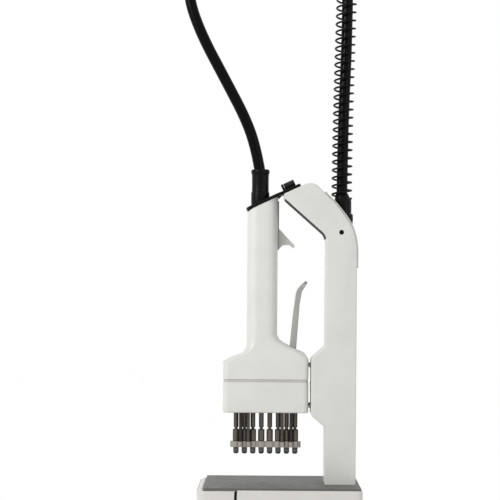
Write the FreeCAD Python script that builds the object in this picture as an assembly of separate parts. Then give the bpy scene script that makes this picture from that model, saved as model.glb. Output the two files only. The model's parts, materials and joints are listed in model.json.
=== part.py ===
import FreeCAD, Part
import math
import os
from FreeCAD import Vector

# Screw cap recapper: a hand-held eight-spindle head, hooked and docked on its bench stand.
# Millimetres. The origin is the middle of the base's footprint on the bench.
# +X points to the right seen from the front, +Y to the back, +Z up.

# Spindle row, set by the nine-millimetre pitch of a tube rack
pitch = 9.0
spindle_count = 8
row_centre_x = -15.0
driven_index = 3

# Base
base_width = 172.0
base_depth = 132.0
base_height = 45.0
base_wall = 3.0
base_corner = 6.0
end_corner = 10.0
end_round = 4.0
top_round = 1.6
end_cap_width = 38.0
end_cap_gap = 1.8
foot_height = 3.0
foot_radius = 8.0
foot_inset = 17.0
steel_thick = 6.0
steel_gap = 0.3
top_plate_thick = 3.5
top_plate_left_rim = 5.5
top_plate_rim = 1.6
top_plate_proud = 0.8
top_plate_corner = 3.0
ceiling_thick = 3.0
boss_radius = 4.0
boss_inset = 12.0
inlet_x = 40.0
inlet_height = 20.0
inlet_radius = 5.5
inlet_pin_radius = 1.0
inlet_bore_radius = 2.75
inlet_flange = 7.0
inlet_flange_thick = 1.0
inlet_length = 14.0

# Column and arm, seen from the front
column_left = 47.9
column_right = 80.5
column_half_depth = 24.0
column_wall = 2.2
column_edge_round = 1.6
pad_left = 32.8
pad_low = 118.0
pad_high = 177.5
pad_run_low = 13.0
pad_run_high = 13.5
knee_height = 323.0
knee_radius = 74.0
arm_outer_slope = 42.0
arm_under_slope = 41.4
inner_knee_height = 308.0
inner_knee_radius = 12.0
nose_x = 3.0
peak_radius = 12.0
post_width = 20.0
post_depth = 24.0
post_wall = 2.5
brace_depth = 8.0
brace_height = 8.0
brace_end_top = 0.95
brace_end_low = 0.4
liner_thick = 1.1
liner_edge = 1.2
liner_foot = 303.0
cap_thick = 1.5
cap_foot = 274.0
cap_edge = 3.0
cap_start_x = 47.0
cap_reach = 9.0
cap_ceiling = 380.0
liner_start = 0.8
liner_lap = 2.0
liner_band_height = 12.0
liner_side_reach = 9.0
screw_x = 65.3
screw_z = 311.2
screw_head_radius = 2.5
screw_shank_radius = 1.5
screw_boss_radius = 4.5
screw_head_depth = 2.0
screw_sink = 1.0
screw_head_gap = 0.1
rear_screw_heights = (250.0, 150.0, 70.0)

# Dock on the column's pad
bumper_radius = 2.65
bumper_heights = (127.4, 170.5)
bumper_y = 16.0
magnet_radius = 6.0
magnet_thick = 4.0
magnet_y = 9.0
magnet_proud = 0.4
dock_gap = 0.3

# Head
head_width = 90.7
head_half_depth = 21.5
head_bottom = 120.0
head_corner = 6.0
head_seam = 155.0
seam_height = 2.2
seam_depth = 1.5
head_side_top = 174.6
head_wall = 2.2
head_edge_round = 1.6

# Shoulder between head and handle: rise above the head's sides, the left and right offsets from the
# head below the turn and from the handle above it, how much less deep, the change of the corner.
shoulder_turn = 9.0
shoulder = [
    (-0.6, 0.0, 0.0, 0.0, 0.0),
    (4.6, 6.7, 2.9, 0.7, 1.0),
    (7.4, 13.8, 4.4, 1.1, 2.0),
    (9.7, 5.0, 25.0, 1.5, 4.0),
    (12.6, 2.7, 19.9, 1.8, 3.0),
    (15.9, 0.4, 13.9, 2.1, 2.0),
    (18.4, 0.1, 9.6, 2.3, 1.0),
    (22.8, 0.0, 2.7, 2.4, 0.5),
]

# Handle
handle_width = 32.4
handle_depth = 38.0
handle_corner = 12.0
handle_foot = 203.0
top_tilt = 25.0
handle_top = 341.8
handle_wall = 2.2

# Top plate with the tongue that rests on the arm
cover_thick = 3.5
cover_back = 18.2
cover_front = 45.2
cover_lip = 0.6
tongue_width = 26.0
tongue_start = 21.0
catch_depth = 3.6
catch_length = 4.6
tongue_gap = 0.3

# Cord gland on the top plate
gland_x = -20.6
gland_collar_radius = 9.7
gland_body_radius = 8.6
gland_flare_radius = 9.8
gland_collar_top = 355.1
gland_body_top = 374.4
gland_top = 379.0

# Knob on the tongue
knob_ear_along = 26.5
knob_ear_thick = 1.5
knob_ear_half_width = 3.6
knob_radius = 3.5
knob_length = 8.5
knob_flutes = 14
knob_flute_depth = 0.35
knob_spigot_radius = 1.4
knob_lift = 0.3
knob_ring_radius = 3.3
knob_ring_length = 1.9
knob_cap_radius = 2.3
knob_cap_length = 0.8

# Spindles, bits and gears
shaft_radius = 2.5
neck_radius = 1.6
socket_radius = 3.5
socket_ribs = 12
rib_depth = 0.2
rib_clearance_low = 1.2
rib_clearance_high = 1.5
bit_radius = 3.0
bit_stem_radius = 1.4
bit_stem_length = 3.0
neck_top = 103.6
neck_bottom = 102.0
socket_bottom = 81.6
bit_bottom = 75.2
bit_lobes = 6
bit_lobe_height = 2.2
bit_groove_radius = 0.9
bit_groove_out = 0.45
gear_teeth = 14
gear_module = 0.5
gear_face = 5.0
gear_addendum = 0.42
gear_dedendum = 0.62
gear_backlash = 0.14
idler_pin_radius = 1.2
idler_pin_inset = 0.5
running_fit = 0.05
side_gap = 0.3

# Head screws
head_screw_inset = 5.2
head_pillar_radius = 3.4
head_screw_head_radius = 2.4
head_screw_head_depth = 1.6
head_screw_reach = 10.0

# Gear decks
floor_thick = 2.5
deck_thick = 4.0
deck_gap = 0.5
deck_end = 5.0
deck_half_depth = 15.0
spacer_radius = 2.5

# Ejector
rod_radius = 1.5
rod_y = -5.4
ejector_thick = 6.4
ejector_top = 88.6
ejector_ring_radius = 4.9
ejector_hole_gap = 0.35
ejector_ear = 1.3
ejector_core_half = 3.2
yoke_top = 156.0
yoke_thick = 4.0
yoke_front = -9.0
yoke_back = -2.6
rod_into_yoke = 2.0
rod_foot_lift = 1.2
spring_wire = 0.5
spring_slack = 0.4
spring_turns = 5
spring_flats = 8

# Ejector lever
lever_pivot_x = 14.0
lever_pivot_z = 172.0
lever_half_width = 6.0
lever_reach = 24.0
lever_blade_thick = 7.0
lever_blade_lean = 4.5
lever_bend_height = 63.0
lever_tip_height = 88.4
lever_tip_out = 16.6
lever_round = 1.0
lever_nose_radius = 2.5
lever_hub_radius = 5.0
pin_radius = 1.5
pin_half_length = 18.0
ear_radius = 4.0
lever_slot_left = 9.0
lever_slot_right = 5.2
lever_gap = 0.4

# Trigger
trigger_low = 294.4
trigger_high = 315.6
trigger_half_width = 4.4
trigger_travel = 3.5
trigger_tip_x = 15.9
trigger_tip_z = 296.8
trigger_gap = 0.3
trigger_flange_thick = 1.5
trigger_flange_lap = 1.8
bezel_low = 291.0
bezel_high = 345.0
bezel_half_width = 6.5
bezel_proud = 0.7
bezel_thick = 3.0
bezel_round = 0.6
switch_depth = 3.0
switch_half_width = 4.0
switch_inset = 5.0
board_below = 6.0
board_above = 10.0
board_rib_inset = 2.0

# Motor, drive shaft and board
motor_radius = 12.0
motor_low = 202.0
motor_length = 82.0
drive_radius = 2.0
drive_foot = 139.0
coupling_radius = 4.0
coupling_top = 146.0
board_thick = 1.6
board_half_width = 9.0
board_rib_height = 4.0

# Cord
cord_radius = 5.7
mast_x = 66.6
mast_lean = 6.0
mast_spring_radius = 10.35
mast_wire = 1.8
mast_pitch = 8.7
mast_flats = 10
mast_top = 600.0
boot_radius = 10.2
boot_top = 347.0
boot_flange = 2.0
boot_length = 34.0
boot_flange_half_depth = 13.3
# The points where the cord's route turns, from the gland over the arch and down into the boot
cord_route = [
    (-19.8, 0.0, 374.0),
    (-25.2, 0.0, 399.0),
    (-35.8, 0.5, 431.0),
    (-58.0, 1.0, 474.0),
    (-82.5, 2.0, 525.0),
    (-98.5, 3.0, 572.0),
    (-103.0, 4.0, 618.0),
    (-92.0, 6.0, 660.0),
    (-62.0, 7.0, 690.0),
    (-20.0, 8.0, 702.0),
    (24.0, 7.0, 692.0),
    (57.0, 5.0, 662.0),
    (71.5, 2.0, 620.0),
    (71.8, 0.5, 565.0),
    (69.0, 0.0, 500.0),
    (67.3, 0.0, 430.0),
    (mast_x, 0.0, 342.0),
]

overshoot = 1.0


# Small builders


def box(x0, x1, y0, y1, z0, z1):
    """A box between two corners."""
    return Part.makeBox(x1 - x0, y1 - y0, z1 - z0, Vector(x0, y0, z0))


def rod(x, y, z0, z1, radius):
    """An upright cylinder."""
    return Part.makeCylinder(radius, z1 - z0, Vector(x, y, z0))


def rod_y_axis(x, z, y0, y1, radius):
    """A cylinder from front to back."""
    return Part.makeCylinder(radius, y1 - y0, Vector(x, y0, z), Vector(0, 1, 0))


def rod_x_axis(y, z, x0, x1, radius):
    """A cylinder from left to right."""
    return Part.makeCylinder(radius, x1 - x0, Vector(x0, y, z), Vector(1, 0, 0))


def rounded_wire(corners, place):
    """A closed wire from corners (u, v, radius), each rounded by an arc, put in space by place(u, v)."""
    count = len(corners)
    stops = []
    for i, (u, v, radius) in enumerate(corners):
        before, after = corners[i - 1], corners[(i + 1) % count]
        here = Vector(u, v, 0)
        back = Vector(before[0] - u, before[1] - v, 0).normalize()
        ahead = Vector(after[0] - u, after[1] - v, 0).normalize()
        if radius <= 0:
            stops.append((here, None, here))
            continue
        half = back.getAngle(ahead) / 2
        reach = radius / math.tan(half)
        middle = (back + ahead).normalize()
        centre = here + middle * (radius / math.sin(half))
        stops.append((here + back * reach, centre - middle * radius, here + ahead * reach))
    edges = []
    for i, (enter, crown, leave) in enumerate(stops):
        if crown is not None:
            edges.append(Part.Arc(*[place(p.x, p.y) for p in (enter, crown, leave)]).toShape())
        start, end = leave, stops[(i + 1) % count][0]
        if (end - start).Length > 1e-6:
            edges.append(Part.makeLine(place(start.x, start.y), place(end.x, end.y)))
    return Part.Wire(edges)


def front_face(corners, y=0.0):
    """A face seen from the front, from corners (x, z, radius)."""
    return Part.Face(rounded_wire(corners, lambda u, v: Vector(u, y, v)))


def front_solid(corners, y0, y1):
    """A front outline drawn out from y0 to y1."""
    return front_face(corners, y0).extrude(Vector(0, y1 - y0, 0))


def plan_wire(x0, x1, y0, y1, z, radii):
    """A rectangle seen from above with four corner radii, from front left round to back left."""
    corners = [(x0, y0, radii[0]), (x1, y0, radii[1]), (x1, y1, radii[2]), (x0, y1, radii[3])]
    return rounded_wire(corners, lambda u, v: Vector(u, v, z))


def plan_solid(x0, x1, y0, y1, z0, z1, radii):
    """A plan outline drawn up from z0 to z1."""
    return Part.Face(plan_wire(x0, x1, y0, y1, z0, radii)).extrude(Vector(0, 0, z1 - z0))


def edges_at(shape, axis, value):
    """The edges that lie wholly at one height, depth or width."""
    low, high = axis + "Min", axis + "Max"
    return [
        e
        for e in shape.Edges
        if abs(getattr(e.BoundBox, low) - value) < 1e-3 and abs(getattr(e.BoundBox, high) - value) < 1e-3
    ]


def split_solids(shape):
    """The solids of a result, as one shape."""
    return shape.Solids[0] if len(shape.Solids) == 1 else Part.makeCompound(shape.Solids)


def revolve(points, x, y):
    """A solid turned about an upright line at (x, y), from points (radius, z)."""
    wire = Part.makePolygon([Vector(x + r, y, z) for r, z in points + points[:1]])
    return Part.Face(wire).revolve(Vector(x, y, 0), Vector(0, 0, 1), 360)


def ring_polygon(radii, angles, z):
    """A closed polygon about the Z axis."""
    points = [Vector(r * math.cos(a), r * math.sin(a), z) for r, a in zip(radii, angles)]
    return Part.Face(Part.makePolygon(points + points[:1]))


def coil(start, end, radius, wire, turns, flats):
    """A spring of square wire section whose turns are drawn with flats, closed at both ends."""
    axis = end - start
    length = axis.Length
    axis = axis * (1 / length)
    side = axis.cross(Vector(0, 1, 0)).normalize()
    front = axis.cross(side)
    steps = int(round(turns * flats))
    path = []
    for i in range(steps + 1):
        angle = -2 * math.pi * i / flats
        out = side * math.cos(angle) + front * math.sin(angle)
        path.append(start + axis * (length * i / steps) + out * radius)
    half = wire / 2
    rings = []
    for i, point in enumerate(path):
        angle = -2 * math.pi * i / flats
        out = side * math.cos(angle) + front * math.sin(angle)
        widen = 1 / math.cos(math.pi / flats)
        corners = ((1, 0), (0, 1), (-1, 0), (0, -1))
        rings.append([point + out * (a * half * widen) + axis * (b * half) for a, b in corners])
    faces = []
    for near, far in zip(rings, rings[1:]):
        for k in range(4):
            a, b, c, d = near[k], near[(k + 1) % 4], far[(k + 1) % 4], far[k]
            faces.append(Part.Face(Part.makePolygon([a, b, c, a])))
            faces.append(Part.Face(Part.makePolygon([a, c, d, a])))
    for ring in (rings[0], rings[-1]):
        faces.append(Part.Face(Part.makePolygon(ring + ring[:1])))
    solid = Part.Solid(Part.Shell(faces))
    return solid if solid.Volume > 0 else solid.reversed()


# Places worked out from the driving dimensions

spindle_x = [row_centre_x + (i - (spindle_count - 1) / 2) * pitch for i in range(spindle_count)]
mid_x = [(a + b) / 2 for a, b in zip(spindle_x, spindle_x[1:])]
handle_x = spindle_x[driven_index]
head_left = row_centre_x - 0.15 - head_width / 2
head_right = head_left + head_width
handle_left = handle_x - handle_width / 2
handle_right = handle_x + handle_width / 2
tilt = math.radians(top_tilt)
slope = math.tan(tilt)


knob_axis_height = cover_thick + knob_lift + knob_radius
bezel_inner_x = handle_right - bezel_thick
trigger_flange_x = bezel_inner_x - trigger_gap
switch_x = trigger_flange_x - trigger_flange_thick - trigger_travel - trigger_gap
board_x = switch_x - switch_depth
board_low = trigger_low - board_below
board_high = trigger_high + board_above


def under_cover(x):
    """The height of the top plate's underside at x."""
    return handle_top + (x - handle_x) * slope


base_left = -base_width / 2
base_right = base_width / 2
base_front = -base_depth / 2
base_back = base_depth / 2
cap_right = base_left + end_cap_width
housing_left = cap_right + end_cap_gap
cover_top = base_height - top_plate_proud
ceiling_top = base_height - top_plate_thick
ceiling_bottom = ceiling_top - ceiling_thick
steel_top = foot_height + steel_thick
post_x = (column_left + column_right) / 2
post_left = post_x - post_width / 2
post_right = post_x + post_width / 2


# Base


def base_shell(x0, x1, radii, edge_round, sides):
    """One part of the base cover: open below, with a recessed ceiling that carries the top plate."""
    outer = plan_solid(x0, x1, base_front, base_back, foot_height, cover_top, radii)
    rim = [e for e in edges_at(outer, "Z", cover_top) if edge_is_outer(e, sides)]
    outer = outer.makeFillet(edge_round, rim)
    inner_radii = [max(r - base_wall, 0) for r in radii]
    left = x0 + (base_wall if "left" in sides else -overshoot)
    right = x1 - (base_wall if "right" in sides else -overshoot)
    inner = plan_solid(
        left,
        right,
        base_front + base_wall,
        base_back - base_wall,
        foot_height - overshoot,
        ceiling_bottom,
        inner_radii,
    )
    return outer.cut(inner)


def edge_is_outer(edge, sides):
    """Whether a top edge of the base lies on an outside wall."""
    middle = edge.CenterOfMass
    if "left" not in sides and abs(middle.x - housing_left) < 1e-3:
        return False
    return not ("right" not in sides and abs(middle.x - cap_right) < 1e-3)


def top_plate_solid(grow):
    """The dark work surface, let into the cover."""
    return plan_solid(
        base_left + top_plate_left_rim - grow,
        base_right - top_plate_rim + grow,
        base_front + top_plate_rim - grow,
        base_back - top_plate_rim + grow,
        ceiling_top,
        base_height,
        [top_plate_corner] * 4,
    )


def post_hole(z0, z1):
    """The opening for the column's post."""
    return box(
        post_left - side_gap,
        post_right + side_gap,
        -post_depth / 2 - side_gap,
        post_depth / 2 + side_gap,
        z0,
        z1,
    )


def boss(x, y):
    """A screw pillar from the ceiling down to the steel plate."""
    return rod(x, y, steel_top, ceiling_bottom + overshoot / 2, boss_radius)


def inlet_hole(radius, y0, y1):
    return rod_y_axis(inlet_x, inlet_height, y0, y1, radius)


def base_parts():
    housing = base_shell(housing_left, base_right, [0, base_corner, base_corner, 0], top_round, ("right",))
    end_cap = base_shell(base_left, cap_right, [end_corner, 0, 0, end_corner], end_round, ("left",))
    recess = top_plate_solid(0.0)
    for y in (base_front + boss_inset, base_back - boss_inset):
        for x in (housing_left + boss_inset, base_right - boss_inset):
            housing = housing.fuse(boss(x, y))
        end_cap = end_cap.fuse(boss(cap_right - boss_inset, y))
    wall_in = base_back - base_wall
    flange_seat = inlet_hole(inlet_flange, base_back - inlet_flange_thick, base_back + overshoot)
    inlet_bore = inlet_hole(inlet_radius, wall_in - overshoot, base_back)
    housing = housing.cut([recess, post_hole(0, base_height), flange_seat, inlet_bore])
    end_cap = end_cap.cut(recess)
    steel = plan_solid(
        base_left + base_wall + steel_gap,
        base_right - base_wall - steel_gap,
        base_front + base_wall + steel_gap,
        base_back - base_wall - steel_gap,
        foot_height,
        steel_top,
        [end_corner - base_wall, base_corner - base_wall, base_corner - base_wall, end_corner - base_wall],
    )
    feet = [
        rod(sx * (base_right - foot_inset), sy * (base_back - foot_inset), 0, foot_height, foot_radius)
        for sx in (-1, 1)
        for sy in (-1, 1)
    ]
    work_plate = top_plate_solid(0.0).cut(post_hole(0, base_height + overshoot))
    inlet = inlet_hole(inlet_flange, base_back - inlet_flange_thick, base_back)
    inlet = inlet.fuse(inlet_hole(inlet_radius, base_back - inlet_length, base_back - inlet_flange_thick))
    inlet_end = base_back - inlet_length + base_wall
    inlet = inlet.cut(inlet_hole(inlet_bore_radius, inlet_end, base_back + overshoot))
    inlet = inlet.fuse(inlet_hole(inlet_pin_radius, inlet_end, base_back - inlet_flange_thick))
    return {
        "base_housing": housing,
        "base_end_cap": end_cap,
        "base_top_plate": work_plate,
        "base_steel_plate": steel,
        "rubber_feet": Part.makeCompound(feet),
        "power_inlet": inlet,
    }


# Column and arm


def column_outline():
    """The column, its dock pad and the hooked arm, as corners (x, z, radius)."""
    nose_top = under_cover(nose_x) - tongue_gap / math.cos(tilt)
    down = math.tan(math.radians(arm_outer_slope))
    peak_x = (knee_height + column_right * down - nose_top + nose_x * slope) / (slope + down)
    peak_z = nose_top + (peak_x - nose_x) * slope
    nose_low = inner_knee_height + (column_left - nose_x) * math.tan(math.radians(arm_under_slope))
    return [
        (column_left, base_height, 0),
        (column_right, base_height, 0),
        (column_right, knee_height, knee_radius),
        (peak_x, peak_z, peak_radius),
        (nose_x, nose_top, 1.2),
        (nose_x, nose_low, 1.2),
        (column_left, inner_knee_height, inner_knee_radius),
        (column_left, pad_high + pad_run_high, 5),
        (pad_left, pad_high, 4),
        (pad_left, pad_low, 4),
        (column_left, pad_low - pad_run_low, 3),
    ]


def grown_column(extra, half_depth):
    """The column's outline grown or shrunk by extra and drawn out front to back."""
    face = front_face(column_outline(), -half_depth)
    grown = face.makeOffset2D(extra, 2)
    return grown.extrude(Vector(0, 2 * half_depth, 0))


def column_half(sign):
    """The front shell for -1 or the rear shell for 1, hollow and open at the foot."""
    y0, y1 = sorted((0.0, sign * column_half_depth))
    body = front_solid(column_outline(), y0, y1)
    outer_y = sign * column_half_depth
    rim = [e for e in edges_at(body, "Y", outer_y) if e.BoundBox.ZMax > base_height + 1e-3]
    body = body.makeFillet(column_edge_round, rim)
    hollow = grown_column(-column_wall, column_half_depth - column_wall)
    foot = box(
        column_left + column_wall,
        column_right - column_wall,
        -column_half_depth + column_wall,
        column_half_depth - column_wall,
        base_height - overshoot,
        base_height + column_wall + overshoot,
    )
    return body.cut([hollow, foot])


def column_brace():
    """The post inside the column with the sloping rib that stiffens the arm."""
    post_top = screw_z - screw_boss_radius - side_gap
    post = box(post_left, post_right, -post_depth / 2, post_depth / 2, steel_top, post_top)
    bore = box(
        post_left + post_wall,
        post_right - post_wall,
        -post_depth / 2 + post_wall,
        post_depth / 2 - post_wall,
        steel_top + post_wall,
        post_top + overshoot,
    )
    rise = math.tan(math.radians(arm_under_slope))
    end_x = nose_x + post_width
    low = inner_knee_height - post_wall
    rib = front_solid(
        [
            (post_right - post_wall, low, 0),
            (post_right - post_wall, low + 2 * brace_height, 3),
            (end_x, low + (post_left - end_x) * rise + brace_end_top * brace_height, 0),
            (end_x, low + (post_left - end_x) * rise + brace_end_low * brace_height, 0),
            (post_left, low, 0),
        ],
        -brace_depth / 2,
        brace_depth / 2,
    )
    return post.cut(bore).fuse(rib).removeSplitter()


def column_parts():
    front, rear = column_half(-1), column_half(1)
    brace = column_brace()
    outer, wall_inner = column_half_depth, column_half_depth - column_wall
    head_in, head_out = outer - screw_sink - screw_head_depth, outer - screw_sink
    bore_radius = screw_head_radius + screw_head_gap
    boss_end = -brace_depth / 2 - side_gap
    front = front.fuse(rod_y_axis(screw_x, screw_z, -wall_inner, boss_end, screw_boss_radius))
    counterbore = rod_y_axis(screw_x, screw_z, -outer - overshoot, -head_in, bore_radius)
    shank_hole = rod_y_axis(screw_x, screw_z, -column_half_depth, 0, screw_shank_radius + running_fit)
    front = front.cut([counterbore, shank_hole])
    screws = [
        rod_y_axis(screw_x, screw_z, -head_out, -head_in, screw_head_radius).fuse(
            rod_y_axis(screw_x, screw_z, -head_in, -brace_depth / 2, screw_shank_radius)
        )
    ]
    for z in rear_screw_heights:
        rear = rear.fuse(rod_y_axis(post_x, z, post_depth / 2 + side_gap, wall_inner, screw_boss_radius))
        head = rod_y_axis(post_x, z, head_in, head_out, screw_head_radius)
        shank = rod_y_axis(post_x, z, post_depth / 2, head_in, screw_shank_radius)
        screws.append(head.fuse(shank))
        rear = rear.cut(
            [
                rod_y_axis(post_x, z, head_in, outer + overshoot, bore_radius),
                rod_y_axis(post_x, z, 0, outer, screw_shank_radius + running_fit),
            ]
        )
    magnet_z = (pad_low + pad_high) / 2
    magnet_left = pad_left - magnet_proud
    magnets = [
        rod_x_axis(y, magnet_z, magnet_left, magnet_left + magnet_thick, magnet_radius)
        for y in (-magnet_y, magnet_y)
    ]
    bumpers = []
    for z in bumper_heights:
        for y in (-bumper_y, bumper_y):
            pad = rod_x_axis(y, z, head_right + dock_gap, pad_left, bumper_radius)
            bumpers.append(pad.fuse(rod_x_axis(y, z, pad_left, pad_left + column_wall, bumper_radius / 2)))
    front = front.cut(magnets + bumpers)
    rear = rear.cut(magnets + bumpers)
    outside = front_solid(column_outline(), -column_half_depth, column_half_depth)
    cap_band = grown_column(cap_thick, column_half_depth - cap_edge).cut(outside)
    cap_zone = front_solid(
        [
            (cap_start_x, knee_height, 0),
            (column_right + cap_reach, knee_height, 0),
            (column_right + cap_reach, cap_ceiling, 0),
            (cap_start_x, cap_ceiling, 0),
        ],
        -column_half_depth,
        column_half_depth,
    )
    side_zone = box(
        column_right - cap_reach,
        column_right + cap_reach,
        -column_half_depth,
        column_half_depth,
        cap_foot,
        knee_height,
    )
    cap_zone = cap_zone.fuse(side_zone)
    arm_cap = split_solids(cap_band.common(cap_zone))
    liner_band = grown_column(liner_thick, column_half_depth - liner_edge).cut(outside)
    rise = math.tan(math.radians(arm_under_slope))
    liner_x = nose_x + liner_start
    liner_z = inner_knee_height + (column_left - liner_x) * rise
    liner_zone = front_solid(
        [
            (liner_x, liner_z + liner_lap, 0),
            (column_left + liner_lap, inner_knee_height + liner_lap, 0),
            (column_left + liner_lap, liner_foot, 0),
            (column_left - liner_side_reach, liner_foot, 0),
            (liner_x, liner_z - liner_band_height, 0),
        ],
        -column_half_depth,
        column_half_depth,
    )
    liner = split_solids(liner_band.common(liner_zone))
    return {
        "column_post": brace,
        "column_front_shell": front,
        "column_rear_shell": rear,
        "column_screws": Part.makeCompound(screws),
        "arm_cap": arm_cap,
        "arm_liner": liner,
        "dock_magnets": Part.makeCompound(magnets),
        "dock_bumpers": Part.makeCompound(bumpers),
    }


# Handpiece housing


def loft_body(inset, foot, crown):
    """The handle flowing into the head, lofted through rounded plans. inset shrinks it to the inside."""
    corner = max(head_corner - inset, 1.0)
    round_in = handle_corner - inset
    d = head_half_depth
    levels = [(foot, head_left, head_right, d, corner)]
    for rise, left, right, thinner, rounder in shoulder:
        x0 = head_left + left if rise < shoulder_turn else handle_left - left
        x1 = head_right - right if rise < shoulder_turn else handle_right + right
        radius = corner + rounder if rise < shoulder_turn else round_in - rounder
        levels.append((head_side_top + rise, x0, x1, d - thinner, radius))
    levels.append((handle_foot, handle_left, handle_right, handle_depth / 2, round_in))
    wires = []
    for z, x0, x1, half, radius in levels:
        wires.append(
            plan_wire(
                x0 + inset,
                x1 - inset,
                -half + inset,
                half - inset,
                z - inset if z > foot else z,
                [radius] * 4,
            )
        )
    head = Part.makeLoft(wires, True, True)
    top = levels[-1]
    z_top = top[0] - inset
    handle = plan_solid(
        top[1] + inset, top[2] - inset, -top[3] + inset, top[3] - inset, z_top, crown, [round_in] * 4
    )
    return head, handle


def cover_frame(shape):
    """Move a shape from the top plate's own frame, its underside at zero, to its place on the handle."""
    shape = shape.copy()
    shape.rotate(Vector(0, 0, 0), Vector(0, 1, 0), -top_tilt)
    shape.translate(Vector(handle_x, 0, handle_top))
    return shape


def housing_parts():
    seam_top = head_seam + seam_height / 2
    seam_low = head_seam - seam_height / 2
    crown = handle_top + handle_width
    head, handle = loft_body(0.0, seam_top, crown)
    above = cover_frame(box(-80, 80, -40, 40, 0, 80))
    body = head.fuse(handle).cut(above)
    head_in, handle_in = loft_body(handle_wall, seam_top - overshoot, crown)
    roof = cover_frame(box(-80, 80, -40, 40, -handle_wall, 80))
    body = body.cut(head_in.fuse(handle_in).cut(roof))
    lever_slot = box(
        lever_pivot_x - lever_slot_left,
        lever_pivot_x + lever_slot_right,
        -lever_half_width - lever_gap,
        lever_half_width + lever_gap,
        head_side_top + 1,
        handle_foot,
    )
    bezel_seat = box(
        bezel_inner_x, handle_right + overshoot, -bezel_half_width, bezel_half_width, bezel_low, bezel_high
    )
    pin_hole = rod_y_axis(lever_pivot_x, lever_pivot_z, -pin_half_length, pin_half_length, pin_radius)
    ears = []
    for sign in (-1, 1):
        y0, y1 = sorted((sign * (lever_half_width + lever_gap), sign * (head_half_depth - 1.0)))
        ears.append(rod_y_axis(lever_pivot_x, lever_pivot_z, y0, y1, ear_radius))
    body = body.fuse(ears).cut([lever_slot, bezel_seat, pin_hole])
    pillar_top = seam_top + head_screw_reach + head_wall
    pillars = [rod(x, y, seam_top, pillar_top, head_pillar_radius) for x, y in head_screw_places()]
    shanks = [rod(x, y, 0, seam_top + head_screw_reach, screw_shank_radius) for x, y in head_screw_places()]
    body = body.fuse(pillars).cut(shanks)
    motor_ring = rod(handle_x, 0, motor_low - 3, motor_low, handle_width / 2 - 1).cut(
        rod(handle_x, 0, motor_low - 4, motor_low + 1, drive_radius + 2)
    )
    ring_block = motor_ring.common(handle_in.fuse(head_in))
    body = body.fuse(ring_block)
    ribs = []
    for z in (board_low + board_rib_inset, board_high - board_rib_inset - board_rib_height):
        for y0, y1 in ((-handle_depth / 2 + 1, -board_half_width), (board_half_width, handle_depth / 2 - 1)):
            ribs.append(box(board_x - board_thick - 1, board_x + 1, y0, y1, z, z + board_rib_height))
    body = body.fuse(ribs)
    halves = [box(-99, 99, -60, 0, 100, 420), box(-99, 99, 0, 60, 100, 420)]
    front = body.common(halves[0])
    rear = body.common(halves[1])
    lower_outer = plan_solid(
        head_left, head_right, -head_half_depth, head_half_depth, head_bottom, seam_low, [head_corner] * 4
    )
    lower_outer = lower_outer.makeFillet(head_edge_round, edges_at(lower_outer, "Z", head_bottom))
    neck = plan_solid(
        head_left + seam_depth,
        head_right - seam_depth,
        -head_half_depth + seam_depth,
        head_half_depth - seam_depth,
        seam_low,
        seam_top,
        [head_corner - seam_depth] * 4,
    )
    lower_inner = plan_solid(
        head_left + head_wall,
        head_right - head_wall,
        -head_half_depth + head_wall,
        head_half_depth - head_wall,
        head_bottom + floor_thick,
        seam_top + overshoot,
        [head_corner - head_wall] * 4,
    )
    lower = lower_outer.fuse(neck).cut(lower_inner)
    foot = head_bottom + floor_thick
    posts = [rod(x, y, foot, seam_top, head_pillar_radius) for x, y in head_screw_places()]
    lower = lower.fuse(posts)
    holes = [
        rod(x, 0, head_bottom - overshoot, head_bottom + floor_thick + overshoot, shaft_radius + side_gap)
        for x in spindle_x
    ]
    for x in rod_places():
        holes.append(
            rod(
                x,
                rod_y,
                head_bottom - overshoot,
                head_bottom + floor_thick + overshoot,
                rod_radius + side_gap,
            )
        )
    for x, y in head_screw_places():
        holes.append(rod(x, y, head_bottom, seam_top + 1, screw_shank_radius + running_fit))
        sink_radius = head_screw_head_radius + running_fit
        holes.append(rod(x, y, head_bottom - overshoot, head_bottom + head_screw_head_depth, sink_radius))
    lower = lower.cut(holes)
    return {
        "handle_front_shell": split_solids(front),
        "handle_rear_shell": split_solids(rear),
        "head_lower_cover": lower,
    }


def head_screw_places():
    """The four corners where screws join the lower cover to the housing above."""
    inset = head_screw_inset
    return [
        (x, y)
        for x in (head_left + inset, head_right - inset)
        for y in (-head_half_depth + inset, head_half_depth - inset)
    ]


def rod_places():
    """The four rods stand between the outer spindles: push rods outside, guide rods inside."""
    return [mid_x[0], mid_x[1], mid_x[-2], mid_x[-1]]


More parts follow.
